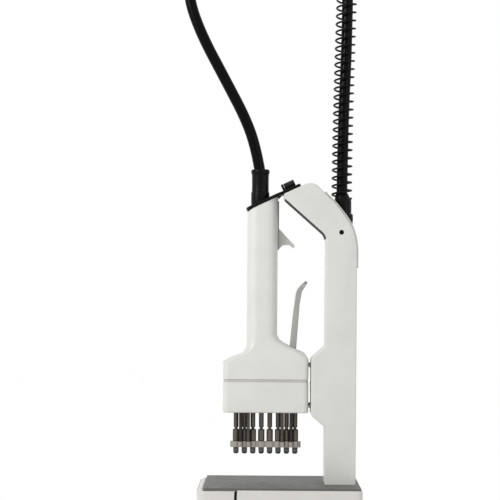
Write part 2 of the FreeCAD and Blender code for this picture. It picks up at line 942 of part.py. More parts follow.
def cover_parts():
    half = handle_depth / 2 + cover_lip
    back = -cover_back
    plan = [
        (back, -half, 12),
        (tongue_start, -half, 6),
        (tongue_start + 4, -tongue_width / 2, 4),
        (cover_front, -tongue_width / 2, 5),
        (cover_front, tongue_width / 2, 5),
        (tongue_start + 4, tongue_width / 2, 4),
        (tongue_start, half, 6),
        (back, half, 12),
    ]
    plate = Part.Face(rounded_wire(plan, lambda u, v: Vector(u, v, 0))).extrude(Vector(0, 0, cover_thick))
    plate = plate.makeFillet(0.8, edges_at(plate, "Z", cover_thick))
    hand_side = (handle_right - handle_x) / math.cos(tilt) + 0.4
    catch = front_solid(
        [
            (hand_side, 0.5, 0),
            (hand_side + catch_length, 0.5, 0),
            (hand_side + 0.9, -catch_depth, 0),
            (hand_side - catch_depth * math.tan(tilt) + 0.4, -catch_depth, 0),
        ],
        -tongue_width / 2 + 3,
        tongue_width / 2 - 3,
    )
    plate = plate.fuse(catch)
    ear_right = knob_ear_along + knob_ear_thick
    ear = box(
        knob_ear_along,
        ear_right,
        -knob_ear_half_width,
        knob_ear_half_width,
        cover_thick - overshoot,
        knob_axis_height + knob_radius,
    )
    bearing = rod_x_axis(
        0, knob_axis_height, knob_ear_along - overshoot, ear_right + overshoot, knob_spigot_radius + running_fit
    )
    plate = plate.fuse(ear).cut(bearing)
    plate = cover_frame(plate)
    gland = revolve(
        [
            (0, handle_top - 20),
            (gland_collar_radius, handle_top - 20),
            (gland_collar_radius, gland_collar_top - 1.2),
            (gland_collar_radius - 1.2, gland_collar_top),
            (gland_body_radius, gland_collar_top),
            (gland_body_radius - 0.5, gland_body_top),
            (gland_flare_radius, gland_body_top + 0.8),
            (gland_flare_radius, gland_top - 1.5),
            (gland_flare_radius - 1.5, gland_top),
            (0, gland_top),
        ],
        gland_x,
        0,
    )
    gland = gland.cut(cover_frame(box(-80, 80, -40, 40, -80, cover_thick)))
    return {"top_plate": plate, "cord_gland": split_solids(gland)}


def knob_solid():
    """The fluted knob that lies along the tongue, with its spigot through the ear at its left."""
    radii, angles = [], []
    for i in range(knob_flutes):
        step = 2 * math.pi / knob_flutes
        for part, depth in ((0.0, 0), (0.45, 0), (0.55, knob_flute_depth), (0.9, knob_flute_depth)):
            radii.append(knob_radius - depth)
            angles.append((i + part) * step)
    ring_start = knob_ear_along + knob_ear_thick + knob_lift
    grip_start = ring_start + knob_ring_length
    cap_start = knob_ear_along - knob_lift - knob_cap_length
    grip = ring_polygon(radii, angles, grip_start).extrude(Vector(0, 0, knob_length))
    ring = rod(0, 0, ring_start, grip_start, knob_ring_radius)
    spigot = rod(0, 0, cap_start, grip_start, knob_spigot_radius)
    cap = rod(0, 0, cap_start, cap_start + knob_cap_length, knob_cap_radius)
    knob = grip.fuse([ring, spigot, cap])
    knob.rotate(Vector(0, 0, 0), Vector(0, 1, 0), 90)
    knob.translate(Vector(0, 0, knob_axis_height))
    return cover_frame(knob)


# Gears, spindles and bits

gear_radius = gear_teeth * gear_module / 2
gear_low = head_bottom + floor_thick + deck_thick + deck_gap
gear_high = gear_low + gear_face
idler_y = math.sqrt((2 * gear_radius) ** 2 - (pitch / 2) ** 2)
tooth_step = 2 * math.pi / gear_teeth
mesh_angle = math.atan2(idler_y, pitch / 2)


def gear(x, y, phase, bore):
    """A spur gear with straight-sided teeth. phase is the angle of one tooth's middle."""
    half_pitch = (gear_module * math.pi / 2 - gear_backlash) / 2
    tip, root = gear_radius + gear_addendum, gear_radius - gear_dedendum
    lean = math.tan(math.radians(20))
    half_tip = half_pitch - gear_addendum * lean
    half_root = half_pitch + gear_dedendum * lean
    radii, angles = [], []
    for i in range(gear_teeth):
        middle = phase + i * tooth_step
        for radius, half in ((root, -half_root), (tip, -half_tip), (tip, half_tip), (root, half_root)):
            radii.append(radius)
            angles.append(middle + half / radius)
    wheel = ring_polygon(radii, angles, gear_low).extrude(Vector(0, 0, gear_face))
    if bore:
        wheel = wheel.cut(rod(0, 0, gear_low - 1, gear_high + 1, bore))
    wheel.translate(Vector(x, y, 0))
    return wheel


def spindle_phase(index):
    """Spindles turn alike, and each one's teeth sit where the idler before it leaves room."""
    return (-4 * mesh_angle * index) % tooth_step


def idler_phase(index):
    return 2 * mesh_angle - spindle_phase(index) - tooth_step / 2


def spindle_solid(index):
    x = spindle_x[index]
    deck_top = gear_high + deck_gap + deck_thick
    shaft = revolve(
        [
            (0, socket_bottom + bit_stem_length),
            (bit_stem_radius, socket_bottom + bit_stem_length),
            (bit_stem_radius, socket_bottom),
            (socket_radius - rib_depth, socket_bottom),
            (socket_radius - rib_depth, neck_bottom - 0.8),
            (neck_radius, neck_bottom),
            (neck_radius, neck_top - 0.6),
            (shaft_radius, neck_top),
            (shaft_radius, deck_top + 2),
            (0, deck_top + 2),
        ],
        x,
        0,
    )
    radii, angles = [], []
    for i in range(socket_ribs):
        step = 2 * math.pi / socket_ribs
        for part, depth in ((0.0, 0), (0.5, 0), (0.6, rib_depth), (0.9, rib_depth)):
            radii.append(socket_radius - depth)
            angles.append((i + part) * step)
    rib_foot = ejector_top + rib_clearance_low
    rib_top = neck_bottom - rib_clearance_high
    ribs = ring_polygon(radii, angles, rib_foot).extrude(Vector(0, 0, rib_top - rib_foot))
    ribs = ribs.cut(rod(0, 0, 0, 200, socket_radius - rib_depth - 0.5))
    ribs.translate(Vector(x, 0, 0))
    return shaft.fuse([gear(x, 0, spindle_phase(index), shaft_radius - 0.5), ribs]).removeSplitter()


def bit_solid(index):
    """A lobed driver bit that enters the cap, with the stem that plugs into its spindle."""
    x = spindle_x[index]
    head = revolve(
        [
            (0, bit_bottom),
            (bit_radius - 1.6, bit_bottom),
            (bit_radius - 0.5, bit_bottom + 1.0),
            (bit_radius, bit_bottom + bit_lobe_height),
            (bit_radius, socket_bottom),
            (bit_stem_radius, socket_bottom),
            (bit_stem_radius, socket_bottom + bit_stem_length),
            (0, socket_bottom + bit_stem_length),
        ],
        x,
        0,
    )
    grooves = []
    for i in range(bit_lobes):
        angle = 2 * math.pi * (i + 0.5) / bit_lobes
        out = bit_radius + bit_groove_out
        grooves.append(
            rod(
                x + out * math.cos(angle),
                out * math.sin(angle),
                bit_bottom - overshoot,
                bit_bottom + bit_lobe_height,
                bit_groove_radius,
            )
        )
    return head.cut(grooves)


def idler_solid(index):
    """An idler gear that runs on its own stub ends in the two decks."""
    x = mid_x[index]
    wheel = gear(x, idler_y, idler_phase(index), 0)
    reach = deck_gap + deck_thick - idler_pin_inset
    pin = rod(x, idler_y, gear_low - reach, gear_high + reach, idler_pin_radius)
    return wheel.fuse(pin)


def deck(z0, with_spacers):
    """A bearing plate for the spindles, idlers and rods."""
    plate = plan_solid(
        spindle_x[0] - deck_end,
        spindle_x[-1] + deck_end,
        -deck_half_depth,
        deck_half_depth,
        z0,
        z0 + deck_thick,
        [3] * 4,
    )
    if with_spacers:
        for x in (spindle_x[0], spindle_x[-1]):
            for y in (-deck_half_depth + 3, deck_half_depth - 3):
                plate = plate.fuse(rod(x, y, z0 + deck_thick, gear_high + deck_gap, spacer_radius))
    cuts = [rod(x, 0, z0 - 1, z0 + deck_thick + 1, shaft_radius + running_fit) for x in spindle_x]
    cuts += [rod(x, idler_y, z0 - 1, z0 + deck_thick + 1, idler_pin_radius + running_fit) for x in mid_x]
    cuts += [rod(x, rod_y, z0 - 1, z0 + deck_thick + 1, rod_radius + running_fit) for x in rod_places()]
    return plate.cut(cuts)


# Ejector


def ejector_parts():
    ejector_low = ejector_top - ejector_thick
    rings = [rod(x, 0, ejector_low, ejector_top, ejector_ring_radius) for x in spindle_x]
    core = plan_solid(
        spindle_x[0] - ejector_ring_radius - ejector_ear,
        spindle_x[-1] + ejector_ring_radius + ejector_ear,
        -ejector_core_half,
        ejector_core_half,
        ejector_low,
        ejector_top,
        [ejector_core_half - 0.1] * 4,
    )
    lugs = [rod(x, rod_y, ejector_low + 1, ejector_top - 0.4, rod_radius + 1.1) for x in rod_places()]
    plate = core.fuse(rings + lugs)
    well_radius = socket_radius + ejector_hole_gap
    wells = [rod(x, 0, ejector_low - 1, ejector_top + 1, well_radius) for x in spindle_x]
    seats = [rod(x, rod_y, ejector_low + 1.2, ejector_top + 1, rod_radius) for x in rod_places()]
    plate = plate.cut(wells + seats)
    yoke = box(mid_x[0] - 4, mid_x[-1] + 4, yoke_front, yoke_back, yoke_top - yoke_thick, yoke_top)
    rod_foot = ejector_low + rod_foot_lift
    yoke_low = yoke_top - yoke_thick
    push = [rod(x, rod_y, rod_foot, yoke_low, rod_radius) for x in (mid_x[0], mid_x[-1])]
    yoke = yoke.fuse(push)
    guides = [
        rod(x, rod_y, rod_foot, yoke_low + rod_into_yoke, rod_radius)
        for x in (mid_x[1], mid_x[-2])
    ]
    yoke = yoke.cut(guides)
    deck_top = gear_high + deck_gap + deck_thick
    springs = []
    for x in (mid_x[1], mid_x[-2]):
        start = Vector(x, rod_y, deck_top + spring_wire / 2 + 0.1)
        end = Vector(x, rod_y, yoke_top - yoke_thick - spring_wire / 2 - 0.1)
        coil_radius = rod_radius + spring_slack + spring_wire
        springs.append(coil(start, end, coil_radius, spring_wire, spring_turns, spring_flats))
    return {
        "ejector_plate": plate,
        "ejector_yoke": yoke,
        "guide_rods": Part.makeCompound(guides),
        "return_springs": Part.makeCompound(springs),
    }


def lever_solid():
    """The lever: a blade that rises beside the handle, a hub on the pin and a foot over the yoke."""
    half = lever_blade_thick / 2
    blade = front_solid(
        [
            (lever_pivot_x - half, lever_pivot_z, 0),
            (lever_pivot_x + half, lever_pivot_z, 0),
            (lever_pivot_x + half + lever_blade_lean, lever_pivot_z + lever_bend_height, 20),
            (lever_pivot_x + half * 2.94, lever_pivot_z + lever_tip_height * 0.87, 8),
            (lever_pivot_x + lever_tip_out, lever_pivot_z + lever_tip_height * 0.977, lever_round),
            (lever_pivot_x + lever_tip_out * 0.855, lever_pivot_z + lever_tip_height, lever_round),
            (lever_pivot_x + lever_blade_lean, lever_pivot_z + lever_tip_height * 0.894, 16),
            (lever_pivot_x + lever_blade_lean * 0.2, lever_pivot_z + lever_tip_height * 0.588, 30),
        ],
        -lever_half_width,
        lever_half_width,
    )
    rims = edges_at(blade, "Y", -lever_half_width) + edges_at(blade, "Y", lever_half_width)
    blade = blade.makeFillet(lever_round, [e for e in rims if e.BoundBox.ZMin > lever_pivot_z + 0.1])
    hub = rod_y_axis(lever_pivot_x, lever_pivot_z, -lever_half_width, lever_half_width, lever_hub_radius)
    nose_x_at = lever_pivot_x - lever_reach
    nose_z = yoke_top + side_gap + lever_nose_radius
    foot = front_solid(
        [
            (lever_pivot_x - 2, lever_pivot_z - lever_hub_radius + 1, 0),
            (lever_pivot_x + 1, lever_pivot_z, 0),
            (lever_pivot_x - 3, lever_pivot_z + 2.5, 0),
            (nose_x_at, nose_z + lever_nose_radius, 0),
            (nose_x_at, nose_z - lever_nose_radius, 0),
        ],
        -lever_half_width,
        lever_half_width,
    )
    nose = rod_y_axis(nose_x_at, nose_z, -lever_half_width, lever_half_width, lever_nose_radius)
    lever = blade.fuse([hub, foot, nose])
    hole = rod_y_axis(lever_pivot_x, lever_pivot_z, -99, 99, pin_radius + running_fit)
    return lever.cut(hole).removeSplitter()


# Trigger, board, motor


def trigger_parts():
    face_x = handle_right + bezel_proud
    flange_x = trigger_flange_x
    hook = front_solid(
        [
            (flange_x - trigger_flange_thick, trigger_low, 0),
            (face_x + 1.2, trigger_low, 1),
            (face_x + 4.2, trigger_low + 3.6, 3),
            (trigger_tip_x - 7, trigger_tip_z + 2.3, 6),
            (trigger_tip_x, trigger_tip_z - 1.2, 1.0),
            (trigger_tip_x - 0.2, trigger_tip_z + 2.4, 1.2),
            (face_x + 0.6, trigger_high, 2),
            (flange_x - trigger_flange_thick, trigger_high, 0),
        ],
        -trigger_half_width,
        trigger_half_width,
    )
    flange = box(
        flange_x - trigger_flange_thick,
        flange_x,
        -bezel_half_width + 0.5,
        bezel_half_width - 0.5,
        trigger_low - trigger_flange_lap,
        trigger_high + trigger_flange_lap,
    )
    trigger = hook.fuse(flange).removeSplitter()
    bezel = box(bezel_inner_x, face_x, -bezel_half_width, bezel_half_width, bezel_low, bezel_high)
    bezel = bezel.makeFillet(bezel_round, edges_at(bezel, "X", face_x))
    slot = box(
        bezel_inner_x - 1,
        face_x + 1,
        -trigger_half_width - trigger_gap,
        trigger_half_width + trigger_gap,
        trigger_low - trigger_gap,
        trigger_high + trigger_gap,
    )
    bezel = bezel.cut(slot)
    board = box(board_x - board_thick, board_x, -board_half_width, board_half_width, board_low, board_high)
    switch = box(
        board_x,
        switch_x,
        -switch_half_width,
        switch_half_width,
        trigger_low + switch_inset,
        trigger_high - switch_inset,
    )
    return {"trigger": trigger, "trigger_bezel": bezel, "control_board": board.fuse(switch)}


def drive_parts():
    deck_top = gear_high + deck_gap + deck_thick
    motor = rod(handle_x, 0, motor_low, motor_low + motor_length, motor_radius)
    motor = motor.makeFillet(1.0, edges_at(motor, "Z", motor_low + motor_length))
    shaft = rod(handle_x, 0, deck_top + 2, motor_low, drive_radius)
    shaft = shaft.fuse(rod(handle_x, 0, drive_foot, coupling_top, coupling_radius))
    return {"drive_motor": motor, "drive_shaft": shaft}


def housing_screws():
    """Four screws up through the lower cover's corners into the housing above."""
    screws = []
    top = head_seam + seam_height / 2 + head_screw_reach
    for x, y in head_screw_places():
        head = rod(x, y, head_bottom + 0.2, head_bottom + head_screw_head_depth, head_screw_head_radius)
        screws.append(head.fuse(rod(x, y, head_bottom + head_screw_head_depth, top, screw_shank_radius)))
    return Part.makeCompound(screws)


# Cord and its spring


def cord_tube():
    points = [Vector(*p) for p in cord_route]
    edges, stops = [], [points[0]]
    arcs = []
    for before, here, after in zip(points, points[1:], points[2:]):
        back, ahead = (before - here), (after - here)
        reach = 0.45 * min(back.Length, ahead.Length)
        back.normalize()
        ahead.normalize()
        turn = math.pi - back.getAngle(ahead)
        radius = reach / math.tan(turn / 2)
        middle = (back + ahead).normalize()
        centre = here + middle * (radius / math.cos(turn / 2))
        arcs.append((here + back * reach, centre - middle * radius, here + ahead * reach, radius))
    at = points[0]
    for enter, crown, leave, radius in arcs:
        edges.append(Part.makeLine(at, enter))
        edges.append(Part.Arc(enter, crown, leave).toShape())
        at = leave
    edges.append(Part.makeLine(at, points[-1]))
    path = Part.Wire(edges)
    start_way = points[1] - points[0]
    section = Part.Wire([Part.makeCircle(cord_radius, points[0], start_way)])
    tube = path.makePipeShell([section], True, True)
    print("cord radii", [round(a[3]) for a in arcs])
    print("cord length", round(path.Length, 1))
    print("cord volume ratio", round(tube.Volume / (path.Length * math.pi * cord_radius**2), 4))
    below_gland = box(gland_x - 20, gland_x + 20, -20, 20, gland_top - 20, gland_top)
    below_boot = box(mast_x - 20, mast_x + 20, -20, 20, boot_top - 20, boot_top)
    return split_solids(tube.cut([below_gland, below_boot]))


def mast_spring():
    start = Vector(mast_x, 0, boot_top + mast_wire / 2 + 0.3)
    end = Vector(mast_x + mast_lean, 0, mast_top)
    turns = round((end - start).Length / mast_pitch)
    return coil(start, end, mast_spring_radius - mast_wire / 2, mast_wire, turns, mast_flats)


def boot_solid():
    """The rubber boot on the arm's outer slope, where the cord enters."""
    skin = grown_column(cap_thick, column_half_depth)
    foot = boot_top - boot_length
    sleeve = rod(mast_x, 0, foot, boot_top, boot_radius)
    flange = grown_column(cap_thick + boot_flange, boot_flange_half_depth).common(
        rod(mast_x, 0, foot, boot_top, boot_radius + boot_flange)
    )
    return split_solids(sleeve.fuse(flange).cut(skin))


def build():
    parts = {}
    parts.update(base_parts())
    parts.update(column_parts())
    parts.update(housing_parts())
    parts.update(cover_parts())
    parts["mode_knob"] = knob_solid()
    parts["gear_deck_lower"] = deck(head_bottom + floor_thick, True)
    parts["gear_deck_upper"] = deck(gear_high + deck_gap, False)
    parts.update(ejector_parts())
    parts["ejector_lever"] = lever_solid()
    parts["lever_pin"] = rod_y_axis(
        lever_pivot_x, lever_pivot_z, -pin_half_length, pin_half_length, pin_radius
    )
    parts.update(trigger_parts())
    parts.update(drive_parts())
    parts["housing_screws"] = housing_screws()
    for i in range(spindle_count):
        parts[f"spindle_{i + 1}"] = spindle_solid(i)
        parts[f"driver_bit_{i + 1}"] = bit_solid(i)
    for i in range(spindle_count - 1):
        parts[f"idler_gear_{i + 1}"] = idler_solid(i)
    parts["spring_boot"] = boot_solid()
    parts["cord_spring"] = mast_spring()
    parts["cord"] = cord_tube()
    return parts


os.makedirs("parts", exist_ok=True)
for name, shape in build().items():
    print(name, len(shape.Solids), shape.isValid(), round(shape.Volume, 1))
    shape.exportStep(f"parts/{name}.step")
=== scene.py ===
import json
import math

import bmesh
import bpy
from mathutils import Matrix, Vector


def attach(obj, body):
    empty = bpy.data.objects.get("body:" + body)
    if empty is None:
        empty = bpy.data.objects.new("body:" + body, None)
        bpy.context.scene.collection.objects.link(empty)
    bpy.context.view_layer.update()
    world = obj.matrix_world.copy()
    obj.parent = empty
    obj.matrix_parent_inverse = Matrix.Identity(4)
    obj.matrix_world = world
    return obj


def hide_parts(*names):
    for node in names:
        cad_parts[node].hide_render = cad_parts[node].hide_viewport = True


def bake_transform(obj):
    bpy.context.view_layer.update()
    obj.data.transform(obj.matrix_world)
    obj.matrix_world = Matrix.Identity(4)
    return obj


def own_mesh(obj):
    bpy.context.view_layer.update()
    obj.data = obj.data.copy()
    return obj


# Screw cap recapper on its bench stand. Blender works in metres; the pieces' sizes are given in millimetres.
mm = 0.001
tiny = 1e-6
smoothAngle = 32  # degrees: an edge that bends more stays sharp

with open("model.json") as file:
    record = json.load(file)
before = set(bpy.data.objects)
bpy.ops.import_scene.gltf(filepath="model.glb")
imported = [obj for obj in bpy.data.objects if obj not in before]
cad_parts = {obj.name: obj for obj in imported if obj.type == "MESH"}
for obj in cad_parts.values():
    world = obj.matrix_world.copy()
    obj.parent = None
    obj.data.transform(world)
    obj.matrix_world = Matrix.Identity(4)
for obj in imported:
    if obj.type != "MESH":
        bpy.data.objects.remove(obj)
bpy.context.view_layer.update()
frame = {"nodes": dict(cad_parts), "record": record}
nodes = frame["nodes"]
record = frame["record"]
bodyOf = {node: body for body, members in record["behaviour"]["bodies"].items() for node in members}
print("frame loaded:", len(nodes), "nodes")


# Camera

cameraPlan = {
    "place": (-18.9, -1800.0, 239.5), "lens": 121.1, "sensor": 36.0, "shift": (-0.0255, 0.1), "roll": -0.4,
}

cameraData = bpy.data.cameras.new("frontCamera")
cameraData.lens = cameraPlan["lens"]
cameraData.sensor_width = cameraPlan["sensor"]
cameraData.shift_x, cameraData.shift_y = cameraPlan["shift"]
camera = bpy.data.objects.new("frontCamera", cameraData)
camera.location = Vector(cameraPlan["place"]) * mm
camera.rotation_euler = (math.radians(90), math.radians(cameraPlan["roll"]), 0)
bpy.context.scene.collection.objects.link(camera)
bpy.context.scene.camera = camera
print("camera set")


# Materials

surfacePlan = {
    "toneMm": 30, "toneDetail": 3.0, "toneRoughness": 0.55, "toneRange": (0.32, 0.68),
    "grainDetail": 2.0, "bumpShare": 0.5, "fleckRange": (0.52, 0.68), "edgeRange": (0.53, 0.6), "edgeShare": 0.5,
    "smudgeMm": 12, "smudgeDetail": 4.0, "smudgeRange": (0.3, 0.7),
}


def linear(hexColour):
    # the screen's colour as the linear values that a shader takes
    parts = [int(hexColour[i:i + 2], 16) / 255 for i in (1, 3, 5)]
    return [c / 12.92 if c <= 0.04045 else ((c + 0.055) / 1.055) ** 2.4 for c in parts] + [1.0]


def addNode(tree, kind, settings=None, inputs=None):
    node = tree.nodes.new(kind)
    for key, value in (settings or {}).items():
        setattr(node, key, value)
    for key, value in (inputs or {}).items():
        if isinstance(value, bpy.types.NodeSocket):
            tree.links.new(value, node.inputs[key])
        else:
            node.inputs[key].default_value = value
    return node


def addNoise(tree, where, sizeMm, detail, **others):
    noise = addNode(tree, "ShaderNodeTexNoise", inputs={
        "Vector": where, "Scale": 1 / (sizeMm * mm), "Detail": detail, **others})
    return noise.outputs["Fac"]


def spreadValue(tree, value, limits, low=0.0, high=1.0):
    spread = addNode(tree, "ShaderNodeMapRange", inputs={
        "Value": value, "From Min": limits[0], "From Max": limits[1], "To Min": low, "To Max": high})
    return spread.outputs["Result"]


def mixColours(tree, factor, under, over):
    mix = addNode(tree, "ShaderNodeMix", {"data_type": "RGBA"}, {"Factor": factor, "A": under, "B": over})
    return mix.outputs["Result"]


def makeFinish(name, recipe):
    p = surfacePlan
    material = bpy.data.materials.new(name)
    material.use_nodes = True
    tree = material.node_tree
    shader = tree.nodes["Principled BSDF"]
    shader.inputs["Metallic"].default_value = recipe.get("metallic", 0.0)
    shader.inputs["Specular IOR Level"].default_value = recipe.get("specular", 0.5)
    where = addNode(tree, "ShaderNodeTexCoord").outputs["Object"]
    drawn = addNode(tree, "ShaderNodeMapping", inputs={"Vector": where, "Scale": recipe.get("stretch", (1, 1, 1))})
    # broad uneven tone, as pigment and handling leave it
    tone = addNoise(tree, where, p["toneMm"], p["toneDetail"], Roughness=p["toneRoughness"])
    shown = mixColours(
        tree, spreadValue(tree, tone, p["toneRange"]), linear(recipe["colour"]), linear(recipe["deep"]))
    # fine surface: stipple, grain or turned marks
    grain = addNoise(tree, drawn.outputs["Vector"], recipe["grainMm"], p["grainDetail"])
    if "fleck" in recipe:
        shown = mixColours(tree, spreadValue(tree, grain, p["fleckRange"]), shown, linear(recipe["fleck"]))
    # edges rubbed lighter by use
    if "edge" in recipe:
        pointed = addNode(tree, "ShaderNodeNewGeometry").outputs["Pointiness"]
        worn = spreadValue(tree, pointed, p["edgeRange"], high=p["edgeShare"])
        shown = mixColours(tree, worn, shown, linear(recipe["edge"]))
    tree.links.new(shown, shader.inputs["Base Color"])
    # gloss that wanders with finger marks and dust
    smudge = addNoise(tree, where, p["smudgeMm"], p["smudgeDetail"])
    tree.links.new(spreadValue(tree, smudge, p["smudgeRange"], *recipe["roughness"]), shader.inputs["Roughness"])
    bump = addNode(tree, "ShaderNodeBump", inputs={
        "Height": grain, "Strength": recipe["bump"], "Distance": recipe["grainMm"] * mm * p["bumpShare"]})
    tree.links.new(bump.outputs["Normal"], shader.inputs["Normal"])
    return material


finishRecipes = {
    # injection moulded ABS: warm white, fine spark-eroded texture that breaks up the highlight
    "mouldedAbsWhite": {
        "colour": "#dededa", "deep": "#d9d9d4", "grainMm": 0.5, "bump": 0.18, "roughness": (0.34, 0.42)},
    # the same ABS in a darker grey for the frame of the trigger: painted shade of the slot the trigger comes out
    # of
    "mouldedAbsGreyPaintedShade": {
        "colour": "#83847f", "deep": "#7c7d78", "grainMm": 0.4, "bump": 0.16, "roughness": (0.36, 0.46)},
    # and in pale grey, for the trigger and the ring of the knob
    "mouldedAbsPaleGrey": {
        "colour": "#c4c4c0", "deep": "#bdbdb9", "grainMm": 0.4, "bump": 0.16, "roughness": (0.32, 0.42)},
    # polyurethane paint on moulded polystyrene covers: pale grey, slight orange peel
    "paintedCoverGrey": {
        "colour": "#dadbd7", "deep": "#d5d6d1", "grainMm": 1.4, "bump": 0.06, "roughness": (0.3, 0.38)},
    # the same paint on the base, tinted a little warmer: painted warm light on the lower parts
    "paintedBaseGreyWarmLight": {
        "colour": "#dad7d4", "deep": "#d4d1ce", "grainMm": 1.4, "bump": 0.06, "roughness": (0.3, 0.38)},
    # PVC work mat with pebbled embossing: dark grey and matt
    "embossedPvcMat": {
        "colour": "#646461", "deep": "#5f5f5c", "fleck": "#6b6b68", "grainMm": 0.8, "bump": 0.35,
        "roughness": (0.5, 0.62), "specular": 0.3},
    # closed-cell EVA foam strip: dark grey, velvety
    "evaFoamStrip": {
        "colour": "#434340", "deep": "#3b3b39", "grainMm": 0.6, "bump": 0.5, "roughness": (0.75, 0.9),
        "specular": 0.2},
    # moulded EPDM: black, paler where its edges are rubbed
    "mouldedEpdm": {
        "colour": "#060606", "deep": "#0a0a0a", "grainMm": 0.6, "bump": 0.14, "roughness": (0.26, 0.36),
        "specular": 0.1, "edge": "#181817"},
    # the same rubber, unpigmented grey
    "greyEpdm": {
        "colour": "#6f6b67", "deep": "#686460", "grainMm": 0.6, "bump": 0.2, "roughness": (0.5, 0.6)},
    # pale warm grey and dull, for a strip in the head's groove: painted shade of the groove
    "greyPaintedShade": {
        "colour": "#cac6c2", "deep": "#c2beba", "grainMm": 0.6, "bump": 0.2, "roughness": (0.6, 0.7)},
    # extruded PVC jacket: black with a satin shine along its length
    "extrudedPvcJacket": {
        "colour": "#040404", "deep": "#070707", "grainMm": 0.9, "bump": 0.08, "roughness": (0.2, 0.28),
        "specular": 0.07},
    # spring wire with black powder coat
    "powderCoatedSpringWire": {
        "colour": "#060606", "deep": "#0a0a0a", "grainMm": 0.35, "bump": 0.12, "roughness": (0.26, 0.36),
        "specular": 0.1},
    # anodised aluminium plate, dyed black: dense satin, brighter where rubbed
    "anodisedAluminiumBlack": {
        "colour": "#0c0c0d", "deep": "#101011", "metallic": 0.2, "grainMm": 0.3, "bump": 0.1,
        "roughness": (0.3, 0.4), "specular": 0.12, "edge": "#1c1c1c"},
    # glass-filled polyamide: black, grey on the crests of the flutes
    "polyamideBlack": {
        "colour": "#080808", "deep": "#0c0c0c", "grainMm": 0.4, "bump": 0.2, "roughness": (0.3, 0.4),
        "specular": 0.3, "edge": "#3a3a3a"},
    # cast aluminium with a grey lacquer, so it has no bare metal shine
    "castAluminiumGrey": {
        "colour": "#a4a5a0", "deep": "#9a9b96", "grainMm": 0.5, "bump": 0.14, "roughness": (0.34, 0.44)},
    # turned steel, heat darkened: brown grey, fine rings round the axis
    "turnedSteelDark": {
        "colour": "#5e5750", "deep": "#524b45", "metallic": 0.75, "stretch": (0.04, 0.04, 1.0),
        "grainMm": 0.35, "bump": 0.25, "roughness": (0.3, 0.42), "edge": "#7d766e"},
    # drawn steel rod, browned: marks along its length
    "brownedSteelRod": {
        "colour": "#5a544d", "deep": "#4e4943", "metallic": 0.8, "stretch": (1.0, 1.0, 0.05),
        "grainMm": 0.3, "bump": 0.06, "roughness": (0.24, 0.34)},
    # ground and polished stainless rod and spring wire
    "groundStainlessRod": {
        "colour": "#c8c8c6", "deep": "#bdbdbb", "metallic": 1.0, "stretch": (1.0, 1.0, 0.05),
        "grainMm": 0.3, "bump": 0.05, "roughness": (0.14, 0.24)},
    # chemically blackened steel, oiled
    "blackenedSteel": {
        "colour": "#3a3833", "deep": "#322f2b", "metallic": 0.8, "stretch": (1.0, 1.0, 0.05),
        "grainMm": 0.3, "bump": 0.08, "roughness": (0.28, 0.4)},
    # black oxide on small screws: nearly no shine
    "blackOxideScrew": {
        "colour": "#080807", "deep": "#0b0b0a", "metallic": 0.2, "grainMm": 0.25, "bump": 0.15,
        "roughness": (0.32, 0.46), "specular": 0.12},
    # bead-blasted aluminium, clear anodised
    "blastedAluminium": {
        "colour": "#a49e98", "deep": "#99938d", "metallic": 0.6, "grainMm": 0.3, "bump": 0.25,
        "roughness": (0.36, 0.48)},
    # hard rubbery thermoplastic: slate grey with a wet highlight
    "mouldedTpuBit": {
        "colour": "#303639", "deep": "#383e41", "grainMm": 0.5, "bump": 0.06, "roughness": (0.18, 0.26),
        "specular": 0.8},
    # nickel plate on the round magnets: warm and bright
    "nickelPlatedMagnet": {
        "colour": "#c2c0ba", "deep": "#b6b4ae", "metallic": 1.0, "grainMm": 0.4, "bump": 0.05,
        "roughness": (0.18, 0.3)},
    # zinc plate on sheet and post: cool grey with a coarse bloom
    "zincPlatedSteel": {
        "colour": "#9fa2a4", "deep": "#8d9092", "metallic": 1.0, "grainMm": 3.0, "bump": 0.05,
        "roughness": (0.34, 0.5)},
    # milled aluminium: cutter marks along the deck
    "milledAluminium": {
        "colour": "#c3c4c5", "deep": "#b7b8ba", "metallic": 1.0, "stretch": (0.05, 1.0, 1.0),
        "grainMm": 0.3, "bump": 0.15, "roughness": (0.26, 0.36)},
    # cut brass gears
    "cutBrass": {
        "colour": "#c9a458", "deep": "#b8934a", "metallic": 1.0, "grainMm": 0.3, "bump": 0.1,
        "roughness": (0.24, 0.36)},
    # deep-drawn steel can of the motor: marks along its length
    "drawnSteelCan": {
        "colour": "#a7a9aa", "deep": "#999b9c", "metallic": 1.0, "stretch": (1.0, 1.0, 0.06),
        "grainMm": 0.3, "bump": 0.1, "roughness": (0.28, 0.38)},
    # glass-fibre epoxy circuit board under green resist
    "glassEpoxyBoard": {
        "colour": "#2c5a35", "deep": "#264f2e", "grainMm": 0.6, "bump": 0.1, "roughness": (0.35, 0.45)},
}
finishes = {name: makeFinish(name, recipe) for name, recipe in finishRecipes.items()}
print("materials made:", len(finishes))


# Shaping helpers

dressPlan = {"weldMm": 0.002, "flatAngle": 0.4, "bevelAngle": 40, "bevelSteps": 2}
cornerPlan = {"share": 0.45, "least": 0.02}


def share(value, low, high):
    # how far value has come from low to high, from 0 to 1
    return min(1, max(0, (value - low) / (high - low)))


def placePiece(name, mesh, finish, body, replaced=()):
    piece = bpy.data.objects.new(name, mesh)
    bpy.context.scene.collection.objects.link(piece)
    mesh.materials.clear()
    mesh.materials.append(finishes[finish])
    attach(piece, body)
    if replaced:
        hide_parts(*replaced)
    return piece


def smoothMesh(work, angle):
    for edge in work.edges:
        edge.smooth = len(edge.link_faces) == 2 and edge.calc_face_angle(0) < math.radians(angle)
    for face in work.faces:
        face.smooth = True


def workToMesh(work, name, angle=smoothAngle):
    smoothMesh(work, angle)
    mesh = bpy.data.meshes.new(name)
    work.to_mesh(mesh)
    work.free()
    return mesh


